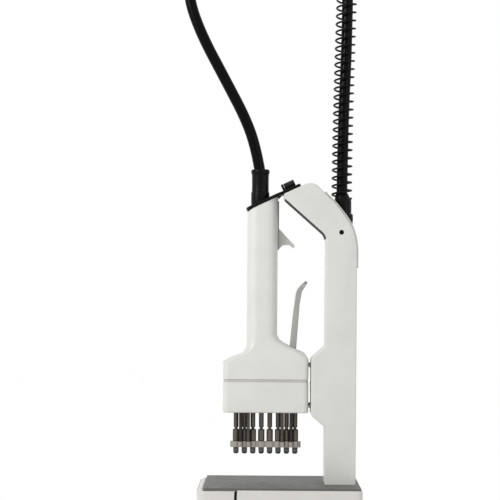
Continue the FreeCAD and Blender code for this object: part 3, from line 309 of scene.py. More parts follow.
def dressNode(node, finish, name, bevelMm=0.0, angle=smoothAngle):
    # a welded copy of the node's solid, corrected in form, with its edges broken by a bevel
    p = dressPlan
    work = bmesh.new()
    work.from_mesh(nodes[node].data)
    bmesh.ops.remove_doubles(work, verts=work.verts, dist=p["weldMm"] * mm)
    bmesh.ops.dissolve_limit(
        work, angle_limit=math.radians(p["flatAngle"]), use_dissolve_boundaries=False, verts=work.verts,
        edges=work.edges)
    if node in formChanges:
        for vert in work.verts:
            vert.co += Vector(formChanges[node](*(vert.co / mm))) * mm
    piece = placePiece(name, workToMesh(work, name, angle), finish, bodyOf[node], (node,))
    if bevelMm:
        bevel = piece.modifiers.new("edgeBreak", "BEVEL")
        bevel.width = bevelMm * mm
        bevel.segments = p["bevelSteps"]
        bevel.limit_method = "ANGLE"
        bevel.angle_limit = math.radians(p["bevelAngle"])
        bevel.use_clamp_overlap = True
        bevel.harden_normals = True
    return piece


def softCorners(points, radius, steps=3):
    # the same outline with each inner corner rounded by a short curve
    rounded = []
    for i, here in enumerate(points):
        if i in (0, len(points) - 1):
            rounded.append(here)
            continue
        before, corner, after = Vector(points[i - 1]), Vector(here), Vector(points[i + 1])
        reach = min(
            radius, cornerPlan["share"] * (before - corner).length, cornerPlan["share"] * (after - corner).length)
        if reach < cornerPlan["least"]:
            rounded.append(here)
            continue
        start = corner + (before - corner).normalized() * reach
        end = corner + (after - corner).normalized() * reach
        for k in range(steps + 1):
            t = k / steps
            rounded.append(tuple(start * (1 - t) ** 2 + corner * 2 * t * (1 - t) + end * t ** 2))
    return rounded


def bridgeRings(work, near, far):
    for k in range(len(near)):
        n = (k + 1) % len(near)
        work.faces.new([near[k], near[n], far[n], far[k]])


def turnedWork(profile, place, steps=48, wave=None):
    # profile is (radius, height) from the lower pole to the upper one; wave bends the radius with the angle
    work = bmesh.new()
    rings = []
    for radius, height in profile:
        if radius < tiny:
            rings.append([work.verts.new(Vector((place[0], place[1], height)) * mm)])
            continue
        ring = []
        for k in range(steps):
            angle = 2 * math.pi * k / steps
            r = radius + (wave(angle, radius, height) if wave else 0)
            ring.append(work.verts.new(
                Vector((place[0] + r * math.cos(angle), place[1] + r * math.sin(angle), height)) * mm))
        rings.append(ring)
    for low, high in zip(rings, rings[1:]):
        if len(low) == 1:
            for k in range(steps):
                work.faces.new([low[0], high[(k + 1) % steps], high[k]])
        elif len(high) == 1:
            for k in range(steps):
                work.faces.new([low[k], low[(k + 1) % steps], high[0]])
        else:
            bridgeRings(work, low, high)
    bmesh.ops.recalc_face_normals(work, faces=work.faces)
    return work


def joinWorks(works):
    total = bmesh.new()
    for work in works:
        mesh = bpy.data.meshes.new("joining")
        work.to_mesh(mesh)
        work.free()
        total.from_mesh(mesh)
        bpy.data.meshes.remove(mesh)
    return total


def startTree(name, sizes):
    # a node tree with one named input for each size
    tree = bpy.data.node_groups.new(name, "GeometryNodeTree")
    tree.interface.new_socket("Geometry", in_out="OUTPUT", socket_type="NodeSocketGeometry")
    for key, value in sizes.items():
        kind = "NodeSocketInt" if isinstance(value, int) else "NodeSocketFloat"
        tree.interface.new_socket(key, in_out="INPUT", socket_type=kind)
    return tree, tree.nodes.new("NodeGroupInput").outputs


def growTree(tree, sizes, name):
    # runs the tree once with these sizes and gives back the plain mesh
    carrier = bpy.data.objects.new(name, bpy.data.meshes.new(name))
    bpy.context.scene.collection.objects.link(carrier)
    modifier = carrier.modifiers.new("grow", "NODES")
    modifier.node_group = tree
    sockets = {item.name: item.identifier for item in tree.interface.items_tree if item.in_out == "INPUT"}
    for key, value in sizes.items():
        modifier[sockets[key]] = value
    evaluated = carrier.evaluated_get(bpy.context.evaluated_depsgraph_get())
    mesh = bpy.data.meshes.new_from_object(evaluated)
    mesh.name = name
    bpy.data.objects.remove(carrier)
    return mesh


# Cord

cordPlan = {
    "radius": 5.9,
    "route": [
        (-22.3, 0.0, 374.0), (-26.6, 0.0, 399.0), (-37.2, 0.5, 431.0), (-60.0, 1.0, 474.0), (-87.5, 2.0, 525.0),
        (-101.3, 3.0, 565.0), (-101.3, 4.0, 612.0), (-92.0, 6.0, 658.0), (-62.0, 7.0, 690.0), (-20.0, 8.0, 702.0),
        (24.0, 7.0, 692.0), (57.0, 5.0, 662.0), (70.0, 2.0, 620.0), (69.8, 0.5, 560.0), (68.6, 0.0, 495.0),
        (65.9, 0.0, 435.0), (64.8, 0.0, 342.0),
    ],
    "order": 3, "steps": 14, "sides": 20, "smoothAngle": 60,
    "length": 0.797,  # metres, as long as the cord of the solids
}


def splinePoints(route):
    curve = bpy.data.curves.new("cordLine", "CURVE")
    curve.dimensions = "3D"
    spline = curve.splines.new("NURBS")
    spline.points.add(len(route) - 1)
    for point, at in zip(spline.points, route):
        point.co = (*(Vector(at) * mm), 1.0)
    spline.order_u = cordPlan["order"]
    spline.use_endpoint_u = True
    spline.resolution_u = cordPlan["steps"]
    holder = bpy.data.objects.new("cordLine", curve)
    mesh = bpy.data.meshes.new_from_object(holder)
    points = [v.co.copy() for v in mesh.vertices]
    bpy.data.objects.remove(holder)
    bpy.data.meshes.remove(mesh)
    return points


def sweepTube(points, radius, sides):
    work = bmesh.new()
    rings = []
    side = Vector((0, 1, 0))
    for i, point in enumerate(points):
        ahead = (points[min(i + 1, len(points) - 1)] - points[max(i - 1, 0)]).normalized()
        side = (side - ahead * side.dot(ahead)).normalized()
        up = ahead.cross(side)
        rings.append([
            work.verts.new(point + (side * math.cos(a) + up * math.sin(a)) * radius)
            for a in (2 * math.pi * k / sides for k in range(sides))])
    for near, far in zip(rings, rings[1:]):
        bridgeRings(work, near, far)
    work.faces.new(rings[0])
    work.faces.new(rings[-1])
    bmesh.ops.recalc_face_normals(work, faces=work.faces)
    return work


cordLine = splinePoints(cordPlan["route"])
cordWork = sweepTube(cordLine, cordPlan["radius"] * mm, cordPlan["sides"])
cordMesh = workToMesh(cordWork, "cordJacket", cordPlan["smoothAngle"])
cordPiece = bpy.data.objects.new("cordJacket", cordMesh)
bpy.context.scene.collection.objects.link(cordPiece)
cordMesh.materials.append(finishes["extrudedPvcJacket"])
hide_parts("cord")
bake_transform(cordPiece)
print("cord made")


# Spring round the cord

springPlan = {
    "foot": (64.8, 348.6), "top": (70.0, 600.0), "bow": 1.6, "radius": 10.1, "wire": 1.1, "turns": 29.0,
    "wireSides": 12, "turnSteps": 30, "smoothAngle": 60,
}


def springTree(finish):
    # a coil that leans more and more with its height, to the power of the bow
    sizes = {
        "Radius": 1.0, "Wire": 1.0, "Turns": 1.0, "Height": 1.0, "Lean": 1.0, "Bow": 1.0, "TurnSteps": 1,
        "WireSides": 1}
    tree, given = startTree("cordSpring", sizes)
    coil = addNode(tree, "GeometryNodeCurveSpiral", inputs={
        "Resolution": given["TurnSteps"], "Rotations": given["Turns"], "Start Radius": given["Radius"],
        "End Radius": given["Radius"], "Height": given["Height"], "Reverse": True})
    place = addNode(tree, "GeometryNodeInputPosition")
    split = addNode(tree, "ShaderNodeSeparateXYZ", inputs={"Vector": place.outputs[0]})
    risen = addNode(tree, "ShaderNodeMath", {"operation": "DIVIDE"}, {0: split.outputs["Z"], 1: given["Height"]})
    bowed = addNode(tree, "ShaderNodeMath", {"operation": "POWER"}, {0: risen.outputs[0], 1: given["Bow"]})
    shift = addNode(tree, "ShaderNodeMath", {"operation": "MULTIPLY"}, {0: bowed.outputs[0], 1: given["Lean"]})
    offset = addNode(tree, "ShaderNodeCombineXYZ", inputs={"X": shift.outputs[0]})
    leaned = addNode(tree, "GeometryNodeSetPosition", inputs={
        "Geometry": coil.outputs[0], "Offset": offset.outputs[0]})
    section = addNode(tree, "GeometryNodeCurvePrimitiveCircle", inputs={
        "Resolution": given["WireSides"], "Radius": given["Wire"]})
    wire = addNode(tree, "GeometryNodeCurveToMesh", inputs={
        "Curve": leaned.outputs[0], "Profile Curve": section.outputs["Curve"], "Fill Caps": True})
    solid = addNode(tree, "GeometryNodeRealizeInstances", inputs={"Geometry": wire.outputs[0]})
    coated = addNode(tree, "GeometryNodeSetMaterial", inputs={"Geometry": solid.outputs[0], "Material": finish})
    addNode(tree, "NodeGroupOutput", inputs={"Geometry": coated.outputs[0]})
    return tree


springMesh = growTree(springTree(finishes["powderCoatedSpringWire"]), {
    "Radius": springPlan["radius"] * mm, "Wire": springPlan["wire"] * mm, "Turns": springPlan["turns"],
    "Height": (springPlan["top"][1] - springPlan["foot"][1]) * mm,
    "Lean": (springPlan["top"][0] - springPlan["foot"][0]) * mm, "Bow": springPlan["bow"],
    "TurnSteps": springPlan["turnSteps"], "WireSides": springPlan["wireSides"]}, "cordSpring")
springMesh.transform(Matrix.Translation(Vector((springPlan["foot"][0], 0, springPlan["foot"][1])) * mm))
springWork = bmesh.new()
springWork.from_mesh(springMesh)
bmesh.ops.recalc_face_normals(springWork, faces=springWork.faces)
placePiece(
    "cordSpring", workToMesh(springWork, "cordSpring", springPlan["smoothAngle"]), "powderCoatedSpringWire",
    "stand", ("cord_spring",))
print("spring made")


# Gland on top of the handle

glandPlan = {
    "place": (-22.3, 0.0),
    "profile": [
        (0, 338.0), (9.6, 338.0), (9.8, 344.0), (9.8, 354.2), (9.1, 355.4), (9.0, 362.0), (9.1, 373.4),
        (9.8, 374.8), (10.0, 377.4), (9.2, 379.0), (6.5, 379.0), (6.2, 377.6), (0, 377.6),
    ],
    "corner": 0.7, "sides": 64,
}
glandWork = turnedWork(
    softCorners(glandPlan["profile"], glandPlan["corner"]), glandPlan["place"], glandPlan["sides"])
placePiece("cordGland", workToMesh(glandWork, "cordGland"), "mouldedEpdm", "handpiece", ("cord_gland",))


# Boot that carries the spring: a sleeve with a flange at the arm and a cone at the spring's last turn

bootPlan = {
    "place": (66.0, 0.0),
    "profile": [
        (0, 318.0), (9.8, 318.0), (10.6, 321.5), (11.2, 326.0), (11.0, 331.5), (9.3, 332.5), (9.2, 346.6),
        (8.7, 347.4), (6.9, 352.8), (6.4, 354.4), (0, 354.4),
    ],
    "corner": 0.6, "sides": 64, "coneFoot": 347, "coneTop": 354, "coneLean": -1.1,
}
bootWork = turnedWork(softCorners(bootPlan["profile"], bootPlan["corner"]), bootPlan["place"], bootPlan["sides"])
for vert in bootWork.verts:
    vert.co.x += bootPlan["coneLean"] * mm * share(vert.co.z / mm, bootPlan["coneFoot"], bootPlan["coneTop"])
placePiece("springBoot", workToMesh(bootWork, "springBoot"), "mouldedEpdm", "stand", ("spring_boot",))
print("gland and boot made")


# Spindles and bits

spindlePlan = {
    "pitch": 9.0, "count": 8, "centre": -15.0, "corner": 0.2, "cornerSteps": 2, "sides": 40, "smoothAngle": 40,
    # open socket, collar, ribbed grip, collar, narrow neck, shaft
    "profile": [
        (0, 83.6), (1.45, 83.6), (1.45, 81.6), (3.0, 81.6), (3.3, 82.0), (3.3, 89.2), (3.5, 89.4), (3.5, 90.1),
        (3.3, 90.3), (3.3, 100.4), (3.5, 100.6), (3.5, 101.1), (1.9, 101.8), (1.6, 102.0), (1.6, 103.1),
        (2.65, 103.6), (2.65, 138.0), (0, 138.0),
    ],
    "ribs": 16, "ribRing": 3.25, "ribDepth": 0.5, "ribWidth": 0.6, "ribLow": 90.0, "ribHigh": 100.6,
}


def ribTree(finish):
    sizes = {"Ribs": 1, "Radius": 1.0, "Depth": 1.0, "Width": 1.0, "Low": 1.0, "High": 1.0, "X": 1.0}
    tree, given = startTree("socketRibs", sizes)
    ring = addNode(tree, "GeometryNodeMeshCircle", inputs={"Vertices": given["Ribs"], "Radius": given["Radius"]})
    tall = addNode(tree, "ShaderNodeMath", {"operation": "SUBTRACT"}, {0: given["High"], 1: given["Low"]})
    size = addNode(tree, "ShaderNodeCombineXYZ", inputs={
        "X": given["Depth"], "Y": given["Width"], "Z": tall.outputs[0]})
    bar = addNode(tree, "GeometryNodeMeshCube", inputs={"Size": size.outputs[0]})
    outward = addNode(tree, "GeometryNodeInputPosition")
    turn = addNode(tree, "FunctionNodeAlignRotationToVector", {"axis": "X", "pivot_axis": "Z"},
                   {"Vector": outward.outputs[0]})
    ribs = addNode(tree, "GeometryNodeInstanceOnPoints", inputs={
        "Points": ring.outputs[0], "Instance": bar.outputs["Mesh"], "Rotation": turn.outputs[0]})
    middle = addNode(tree, "ShaderNodeMath", {"operation": "ADD"}, {0: given["High"], 1: given["Low"]})
    half = addNode(tree, "ShaderNodeMath", {"operation": "MULTIPLY"}, {0: middle.outputs[0], 1: 0.5})
    place = addNode(tree, "ShaderNodeCombineXYZ", inputs={"X": given["X"], "Z": half.outputs[0]})
    moved = addNode(tree, "GeometryNodeTransform", inputs={
        "Geometry": ribs.outputs[0], "Translation": place.outputs[0]})
    solid = addNode(tree, "GeometryNodeRealizeInstances", inputs={"Geometry": moved.outputs[0]})
    steel = addNode(tree, "GeometryNodeSetMaterial", inputs={"Geometry": solid.outputs[0], "Material": finish})
    addNode(tree, "NodeGroupOutput", inputs={"Geometry": steel.outputs[0]})
    return tree


ribsTree = ribTree(finishes["turnedSteelDark"])


def makeSpindle(number, x):
    p = spindlePlan
    body = turnedWork(softCorners(p["profile"], p["corner"], p["cornerSteps"]), (x, 0), p["sides"])
    ribMesh = growTree(ribsTree, {
        "Ribs": p["ribs"], "Radius": p["ribRing"] * mm, "Depth": p["ribDepth"] * mm, "Width": p["ribWidth"] * mm,
        "Low": p["ribLow"] * mm, "High": p["ribHigh"] * mm, "X": x * mm}, "ribs")
    ribWork = bmesh.new()
    ribWork.from_mesh(ribMesh)
    bpy.data.meshes.remove(ribMesh)
    name = f"spindle{number}"
    mesh = workToMesh(joinWorks([body, ribWork]), name, p["smoothAngle"])
    placePiece(name, mesh, "turnedSteelDark", f"spindle_{number}", (f"spindle_{number}",))


bitPlan = {
    "corner": 0.3, "sides": 60, "smoothAngle": 40, "radius": 3.0,
    "profile": [
        (0, 75.55), (0.9, 75.5), (1.3, 75.2), (1.8, 75.28), (2.4, 75.8), (2.75, 76.4), (2.95, 77.0), (3.0, 77.4),
        (3.0, 81.3), (2.7, 81.6), (1.4, 81.6), (1.4, 84.4), (0, 84.4),
    ],
    "lobes": 6, "lobeDepth": 0.55, "lobeTop": 77.4, "lobeFull": 76.2,
}


def lobeWave(angle, radius, height):
    p = bitPlan
    fade = share(height, p["lobeTop"], p["lobeFull"]) * min(1, radius / p["radius"])
    return -p["lobeDepth"] * fade * (0.5 - 0.5 * math.cos(p["lobes"] * angle)) ** 2


def makeBit(number, x):
    p = bitPlan
    work = turnedWork(softCorners(p["profile"], p["corner"]), (x, 0), p["sides"], lobeWave)
    name = f"driverBit{number}"
    placePiece(name, workToMesh(work, name, p["smoothAngle"]), "mouldedTpuBit", f"spindle_{number}",
               (f"driver_bit_{number}",))


for number in range(1, spindlePlan["count"] + 1):
    x = spindlePlan["centre"] + (number - (spindlePlan["count"] + 1) / 2) * spindlePlan["pitch"]
    makeSpindle(number, x)
    makeBit(number, x)
print("spindles and bits made")


# Knob that lies along the tongue, measured along its own axis from the plate's left end

knobPlan = {
    "plate": (-19.5, 0.0, 341.8), "tilt": 25, "axisHeight": 7.3,
    # cap, spigot that the ring sits on, fluted grip, dished end
    "grip": [
        (0, 25.8), (3.1, 25.8), (3.3, 26.0), (3.3, 26.5), (1.4, 26.5), (1.4, 28.8), (3.35, 28.8), (3.5, 28.95),
        (3.5, 29.4), (3.5, 29.6), (3.5, 40.0), (3.0, 40.6), (2.4, 40.35), (0, 40.35),
    ],
    "gripSides": 112, "flutes": 14, "fluteDepth": 0.34, "fluteStart": 29.4, "fluteRadius": 3.1,
    "fluteSharpness": 0.6,
    "ring": [(1.4, 26.6), (3.2, 26.6), (3.4, 26.8), (3.4, 28.6), (3.2, 28.8), (1.4, 28.8), (1.4, 26.6)],
    "ringSides": 48,
}


def fluteWave(angle, radius, height):
    p = knobPlan
    if radius <= p["fluteRadius"] or height <= p["fluteStart"]:
        return 0
    return -p["fluteDepth"] * (0.5 - 0.5 * math.cos(p["flutes"] * angle)) ** p["fluteSharpness"]


def makeKnob():
    p = knobPlan
    lie = (Matrix.Translation(Vector(p["plate"]) * mm) @ Matrix.Rotation(math.radians(-p["tilt"]), 4, "Y")
           @ Matrix.Translation((0, 0, p["axisHeight"] * mm)) @ Matrix.Rotation(math.radians(90), 4, "Y"))
    grip = turnedWork(p["grip"], (0, 0), p["gripSides"], fluteWave)
    grip.transform(lie)
    placePiece("modeKnob", workToMesh(grip, "modeKnob"), "polyamideBlack", "knob", ("mode_knob",))
    ring = turnedWork(p["ring"], (0, 0), p["ringSides"])
    # the ring's outline closes on itself, so its first and last rows are one
    bmesh.ops.remove_doubles(ring, verts=ring.verts, dist=tiny / 10)
    bmesh.ops.recalc_face_normals(ring, faces=ring.faces)
    ring.transform(lie)
    placePiece("knobRing", workToMesh(ring, "knobRing"), "mouldedAbsPaleGrey", "knob")


makeKnob()
print("knob made")


# Corrections of form on the copies: each gives the shift of a point at x, y, z

# the lever stands further left than its solid and is wider at its root
leverPlan = {"pin": (14, 172), "rootAbove": 1.4, "hub": 3, "shift": 1.5, "rootExtra": 0.6, "bend": 223}
# the trigger's hook ends shorter and lower
triggerPlan = {"root": 0, "tip": 15.8, "shift": (-1.4, -1.1)}
# the bezel stands out a little more, and its foot ends higher
bezelPlan = {"out": 0.5, "foot": 293, "footLift": 2.0}
# the recessed screw sits further left
boltPlan = {"at": (65.3, 311.2), "reach": 4.6, "shift": (-1.4, 0, 0.4)}
# the liner sits higher under the arm, its foot most
linerPlan = {"out": 0.45, "lift": 0.9, "foot": 304, "footLift": 1.1}
# the arm's outer slope is flatter than its solid, from the arm's top down to the step
slopePlan = {
    "outline": [(49.2, 353.3), (58.8, 345.0), (67.3, 338.2), (73.3, 329.7), (77.3, 320.9)], "skin": 16.0,
    "from": 48, "full": 64, "ease": 68, "to": 77, "pull": 1.4, "shellPull": 1.7, "angle": 47,
}
# the base's rim is lower, the gap beside its end cap leans and is wider, and the mat ends further in
rimPlan = {"over": 41.6, "drop": 1.4}
gapPlan = {"cap": -48.0, "housing": -46.2, "within": 0.15, "bend": (33, 43), "lean": 1.5, "widen": 0.9}
matPlan = {"edge": -77, "shift": 1.4}
# the catch under the tongue is shallower
catchPlan = {"origin": (-19.5, 341.8), "tilt": 25, "under": -2.0, "rise": 2.2}
# the groove of the head is wider and lower, and its shoulders differ
seamPlan = {"top": 156.1, "low": 153.9, "within": 0.06, "topDrop": 0.6, "lowDrop": 1.4}
shoulderPlan = {
    "heights": (165, 172), "left": (-60, -52), "leftEnd": (-36, -30), "leftSink": 1.7, "right": (22, 28),
    "rightLift": 2.6,
}
# bumpers are slimmer, guide rods thicker
bumperPlan = {"heights": (127.4, 170.5), "side": 16.0, "slim": 0.25}
rodPlan = {
    "places": (-42.0, -33.0, 3.0, 12.0), "shifts": (0.7, -0.7, -0.4, 0.3), "depth": -5.4, "within": 1.7,
    "top": 151.9, "grow": 0.27,
}


def shiftLever(x, y, z):
    p = leverPlan
    if z < p["pin"][1] + p["rootAbove"] or math.hypot(x - p["pin"][0], z - p["pin"][1]) < p["hub"]:
        return 0, 0, 0
    rest = 1 - share(z, p["pin"][1], p["bend"])
    return -p["shift"] - (p["rootExtra"] * rest if x < p["pin"][0] else 0), 0, 0


def shiftTrigger(x, y, z):
    out = share(x, triggerPlan["root"], triggerPlan["tip"]) ** 2
    return triggerPlan["shift"][0] * out, 0, triggerPlan["shift"][1] * out


def showBezel(x, y, z):
    return bezelPlan["out"], 0, bezelPlan["footLift"] if z < bezelPlan["foot"] else 0


def shiftBolt(x, y, z):
    near = math.hypot(x - boltPlan["at"][0], z - boltPlan["at"][1]) < boltPlan["reach"]
    return boltPlan["shift"] if near and y < 0 else (0, 0, 0)


def sinkLiner(x, y, z):
    return linerPlan["out"], 0, linerPlan["lift"] + (linerPlan["footLift"] if z < linerPlan["foot"] else 0)


def pullSlope(x, y, z):
    p = slopePlan
    amount = p["pull"] * min(share(x, p["from"], p["full"]), 1 - share(x, p["ease"], p["to"]))
    for (x0, z0), (x1, z1) in zip(p["outline"], p["outline"][1:]):
        if x0 <= x <= x1 and z < z0 + (z1 - z0) * (x - x0) / (x1 - x0) - p["skin"]:
            amount = 0
    return -amount * math.cos(math.radians(p["angle"])), 0, -amount * math.sin(math.radians(p["angle"]))


def shapeRearShell(x, y, z):
    return [a * slopePlan["shellPull"] / slopePlan["pull"] for a in pullSlope(x, y, z)]


def shapeFrontShell(x, y, z):
    return [a + b for a, b in zip(shiftBolt(x, y, z), shapeRearShell(x, y, z))]


def lowerRim(x, y, z):
    return 0, 0, -rimPlan["drop"] if z > rimPlan["over"] else 0


def leanGap(x, y, z):
    p = gapPlan
    drop = lowerRim(x, y, z)[2]
    lean = p["lean"] * share(z, *p["bend"])
    if abs(x - p["cap"]) < p["within"]:
        return lean, 0, drop
    return lean + p["widen"] if abs(x - p["housing"]) < p["within"] else 0, 0, drop


def moveMatEdge(x, y, z):
    return matPlan["shift"] if x < matPlan["edge"] else 0, 0, 0


def liftCatch(x, y, z):
    tilt = math.radians(catchPlan["tilt"])
    across = (z - catchPlan["origin"][1]) * math.cos(tilt) - (x - catchPlan["origin"][0]) * math.sin(tilt)
    rise = catchPlan["rise"] if across < catchPlan["under"] else 0
    return -rise * math.sin(tilt), 0, rise * math.cos(tilt)


def widenSeam(x, y, z):
    p = seamPlan
    if abs(z - p["top"]) < p["within"]:
        return 0, 0, -p["topDrop"]
    return 0, 0, -p["lowDrop"] if abs(z - p["low"]) < p["within"] else 0


def shapeShoulder(x, y, z):
    # the left shoulder sinks, the right one keeps its corner higher
    p = shoulderPlan
    over = share(z, *p["heights"])
    left = share(x, *p["left"]) * (1 - share(x, *p["leftEnd"])) * over
    right = share(x, *p["right"]) * over
    return 0, 0, widenSeam(x, y, z)[2] - p["leftSink"] * left + p["rightLift"] * right


def slimBumper(x, y, z):
    p = bumperPlan
    middle = min(p["heights"], key=lambda height: abs(height - z))
    side = math.copysign(p["side"], y)
    return 0, (side - y) * p["slim"], (middle - z) * p["slim"]


def thickenRod(x, y, z):
    p = rodPlan
    axis = min(p["places"], key=lambda place: abs(place - x))
    if math.hypot(x - axis, y - p["depth"]) > p["within"] or z > p["top"]:
        return 0, 0, 0
    return (x - axis) * p["grow"] + p["shifts"][p["places"].index(axis)], (y - p["depth"]) * p["grow"], 0


formChanges = {
    "ejector_lever": shiftLever, "trigger": shiftTrigger, "trigger_bezel": showBezel,
    "column_front_shell": shapeFrontShell, "column_rear_shell": shapeRearShell, "column_screws": shiftBolt,
    "arm_cap": pullSlope, "arm_liner": sinkLiner, "top_plate": liftCatch,
    "base_housing": leanGap, "base_end_cap": leanGap, "base_top_plate": moveMatEdge,
    "handle_front_shell": shapeShoulder, "handle_rear_shell": shapeShoulder, "head_lower_cover": widenSeam,
    "dock_bumpers": slimBumper, "guide_rods": thickenRod, "ejector_yoke": thickenRod,
}


# Covers, plates and the rest of the visible solids: node, finish, name of the piece, bevel

dressedNodes = [
    ("base_housing", "paintedBaseGreyWarmLight", "baseHousing", 0.3),
    ("base_end_cap", "paintedBaseGreyWarmLight", "baseEndCap", 0.3),
    ("base_top_plate", "embossedPvcMat", "baseWorkMat", 0.3),
    ("rubber_feet", "mouldedEpdm", "rubberFeet", 0.5),
    ("power_inlet", "polyamideBlack", "powerInlet", 0.2),
    ("column_front_shell", "paintedCoverGrey", "columnFrontShell", 0.0),
    ("column_rear_shell", "paintedCoverGrey", "columnRearShell", 0.0),
    ("arm_cap", "paintedCoverGrey", "armCap", 0.3),
    ("arm_liner", "evaFoamStrip", "armLiner", 0.4),
    ("dock_magnets", "nickelPlatedMagnet", "dockMagnets", 0.3),
    ("dock_bumpers", "greyEpdm", "dockBumpers", 0.4),
    ("handle_front_shell", "mouldedAbsWhite", "handleFrontShell", 0.0),
    ("handle_rear_shell", "mouldedAbsWhite", "handleRearShell", 0.0),
    ("head_lower_cover", "mouldedAbsWhite", "headLowerCover", 0.2),
    ("top_plate", "anodisedAluminiumBlack", "topPlate", 0.2),
    # the trigger's frame is the trigger's grey; its darker finish is painted shade
    ("trigger_bezel", "mouldedAbsGreyPaintedShade", "triggerBezel", 0.2),
    ("trigger", "mouldedAbsPaleGrey", "trigger", 0.5),
    ("ejector_lever", "castAluminiumGrey", "ejectorLever", 0.0),
    ("ejector_plate", "blastedAluminium", "ejectorPlate", 0.3),
    ("ejector_yoke", "blackenedSteel", "ejectorYoke", 0.2),
    ("guide_rods", "brownedSteelRod", "guideRods", 0.2),
    ("column_screws", "blackOxideScrew", "columnScrews", 0.2),
    ("housing_screws", "blackOxideScrew", "housingScrews", 0.2),
    ("lever_pin", "groundStainlessRod", "leverPin", 0.2),
]
leverSmoothAngle = 20  # the lever's bend stays crisp
for node, finish, name, bevelMm in dressedNodes:
    dressNode(node, finish, name, bevelMm, leverSmoothAngle if node == "ejector_lever" else smoothAngle)

# The return springs, between the bearing deck and the yoke, get a mesh of their own
returnSprings = dressNode("return_springs", "groundStainlessRod", "returnSprings")
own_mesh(returnSprings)
print("solids dressed:", len(dressedNodes) + 1)


# Grey strip in the groove between the upper housing and the lower cover: painted shade of the groove

seamPaintedShadePlan = {
    "left": -59.95, "right": 29.65, "half": 20.4, "low": 152.6, "high": 155.4, "corner": 4.9, "wall": 1.2,
    "cornerSteps": 6,
}


def roundedFrame(p, inset):
    # corner points of the strip's outline, anticlockwise seen from above
    left, right, half = p["left"] + inset, p["right"] - inset, p["half"] - inset
    corner, steps = p["corner"] - inset, p["cornerSteps"]
    points = []
    for x, y, start in ((right, half, 0), (left, half, 90), (left, -half, 180), (right, -half, 270)):
        middleX = x - math.copysign(corner, x - (left + right) / 2)
        middleY = y - math.copysign(corner, y)
        for k in range(steps + 1):
            angle = math.radians(start + 90 * k / steps)
            points.append((middleX + corner * math.cos(angle), middleY + corner * math.sin(angle)))
    return points


def makeSeamPaintedShade():
    p = seamPaintedShadePlan
    outer, inner = roundedFrame(p, 0), roundedFrame(p, p["wall"])
    work = bmesh.new()
    rings = [
        [work.verts.new(Vector((x, y, height)) * mm) for x, y in line]
        for line, height in ((outer, p["low"]), (outer, p["high"]), (inner, p["high"]), (inner, p["low"]))]
    for near, far in zip(rings, rings[1:] + rings[:1]):
        bridgeRings(work, near, far)
    bmesh.ops.recalc_face_normals(work, faces=work.faces)
    placePiece("seamPaintedShade", workToMesh(work, "seamPaintedShade"), "greyPaintedShade", bodyOf["head_lower_cover"])


# Black block deep in the gap beside the base's end cap: painted shade of the deep gap

gapPaintedShadePlan = {"left": -47.95, "right": -45.6, "half": 64.6, "low": 4.0, "high": 41.0}


def makeGapPaintedShade():
    p = gapPaintedShadePlan
    work = bmesh.new()
    bmesh.ops.create_cube(work, size=1)
    for vert in work.verts:
        z = p["low"] + (p["high"] - p["low"]) * (vert.co.z + 0.5)
        x = p["left"] + (p["right"] - p["left"]) * (vert.co.x + 0.5) + gapPlan["lean"] * share(z, *gapPlan["bend"])
        vert.co = Vector((x, 2 * p["half"] * vert.co.y, z)) * mm
    placePiece("gapPaintedShade", workToMesh(work, "gapPaintedShade"), "mouldedEpdm", bodyOf["base_housing"])


# the groove's strip and the gap's block are painted shade
makeSeamPaintedShade()
makeGapPaintedShade()
print("seam and gap painted shade made")


# What stays inside the covers keeps its own mesh and gets its real finish
insideFinishes = {
    "base_steel_plate": "zincPlatedSteel", "column_post": "zincPlatedSteel", "drive_motor": "drawnSteelCan",
    "gear_deck_lower": "milledAluminium", "gear_deck_upper": "milledAluminium", "control_board": "glassEpoxyBoard",
    "drive_shaft": "turnedSteelDark",
}
insideFinishes.update({f"idler_gear_{i}": "cutBrass" for i in range(1, 8)})
for node, finish in insideFinishes.items():
    nodes[node].data.materials.clear()
    nodes[node].data.materials.append(finishes[finish])
print("inner parts finished:", len(insideFinishes))


# Floor, world and lamps

stagePlan = {
    # half a side of the floor in metres
    "floorHalf": 6.0, "floorPaint": "#f4f4f2", "floorGlow": 0.995, "white": (1, 1, 1, 1), "ambient": 0.5,
    "backdrop": 1.0,
}


def addMath(tree, operation, a, b):
    return addNode(tree, "ShaderNodeMath", {"operation": operation}, {0: a, 1: b}).outputs[0]


def addSight(tree):
    # 1 for what the camera sees straight, in a mirror or through glass, and 0 for light that falls on the part
    rays = addNode(tree, "ShaderNodeLightPath").outputs
    seen = addMath(tree, "MAXIMUM", rays["Is Camera Ray"], rays["Is Glossy Ray"])
    return addMath(tree, "MAXIMUM", seen, rays["Is Transmission Ray"])


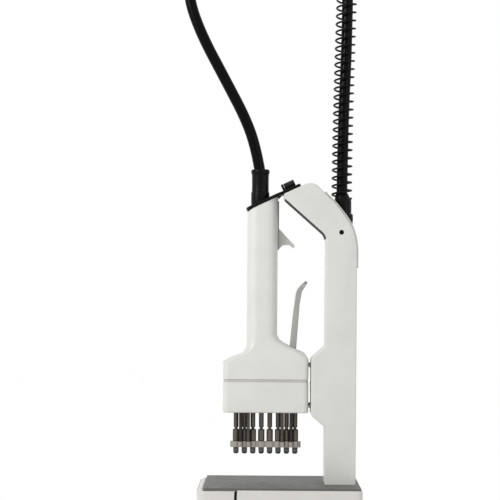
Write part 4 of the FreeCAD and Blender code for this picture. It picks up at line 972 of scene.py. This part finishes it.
floorMesh = bpy.data.meshes.new("floor")
half = stagePlan["floorHalf"]
floorMesh.from_pydata([(-half, -half, 0), (half, -half, 0), (half, half, 0), (-half, half, 0)], [], [(0, 1, 2, 3)])
floor = bpy.data.objects.new("floor", floorMesh)
bpy.context.scene.collection.objects.link(floor)
floorFinish = bpy.data.materials.new("paleFloor")
floorFinish.use_nodes = True
floorTree = floorFinish.node_tree
floorTree.nodes.clear()
glow = addMath(floorTree, "MULTIPLY", addSight(floorTree), stagePlan["floorGlow"])
paint = addNode(floorTree, "ShaderNodeBsdfDiffuse", inputs={"Color": linear(stagePlan["floorPaint"])})
light = addNode(floorTree, "ShaderNodeEmission", inputs={"Color": stagePlan["white"], "Strength": 1.0})
mixed = addNode(floorTree, "ShaderNodeMixShader", inputs={0: glow, 1: paint.outputs[0], 2: light.outputs[0]})
addNode(floorTree, "ShaderNodeOutputMaterial", inputs={"Surface": mixed.outputs[0]})
floorMesh.materials.append(floorFinish)

world = bpy.data.worlds.new("whiteStudio")
bpy.context.scene.world = world
world.use_nodes = True
worldTree = world.node_tree
worldTree.nodes.clear()
ambient, backdrop = [
    addNode(worldTree, "ShaderNodeBackground", inputs={"Color": stagePlan["white"], "Strength": stagePlan[key]})
    for key in ("ambient", "backdrop")]
sky = addNode(worldTree, "ShaderNodeMixShader", inputs={
    0: addSight(worldTree), 1: ambient.outputs[0], 2: backdrop.outputs[0]})
addNode(worldTree, "ShaderNodeOutputWorld", inputs={"Surface": sky.outputs[0]})

# lamps in metres and watts
lampPlans = {
    "keyLamp": {"place": (-1.2, -1.0, 0.9), "aim": (0, 0, 0.25), "size": 0.5, "power": 13.9},
    "fillLamp": {"place": (1.3, -1.0, 0.7), "aim": (0, 0, 0.25), "size": 1.0, "power": 3.7},
    "topLamp": {"place": (0.1, 0.5, 1.6), "aim": (0, 0, 0.2), "size": 0.9, "power": 5.0},
}
for name, plan in lampPlans.items():
    lampData = bpy.data.lights.new(name, "AREA")
    lampData.size = plan["size"]
    lampData.energy = plan["power"]
    lamp = bpy.data.objects.new(name, lampData)
    lamp.location = plan["place"]
    lamp.rotation_euler = (Vector(plan["aim"]) - Vector(plan["place"])).to_track_quat("-Z", "Y").to_euler()
    bpy.context.scene.collection.objects.link(lamp)
bpy.context.scene.view_settings.view_transform = "Standard"
print("stage set")
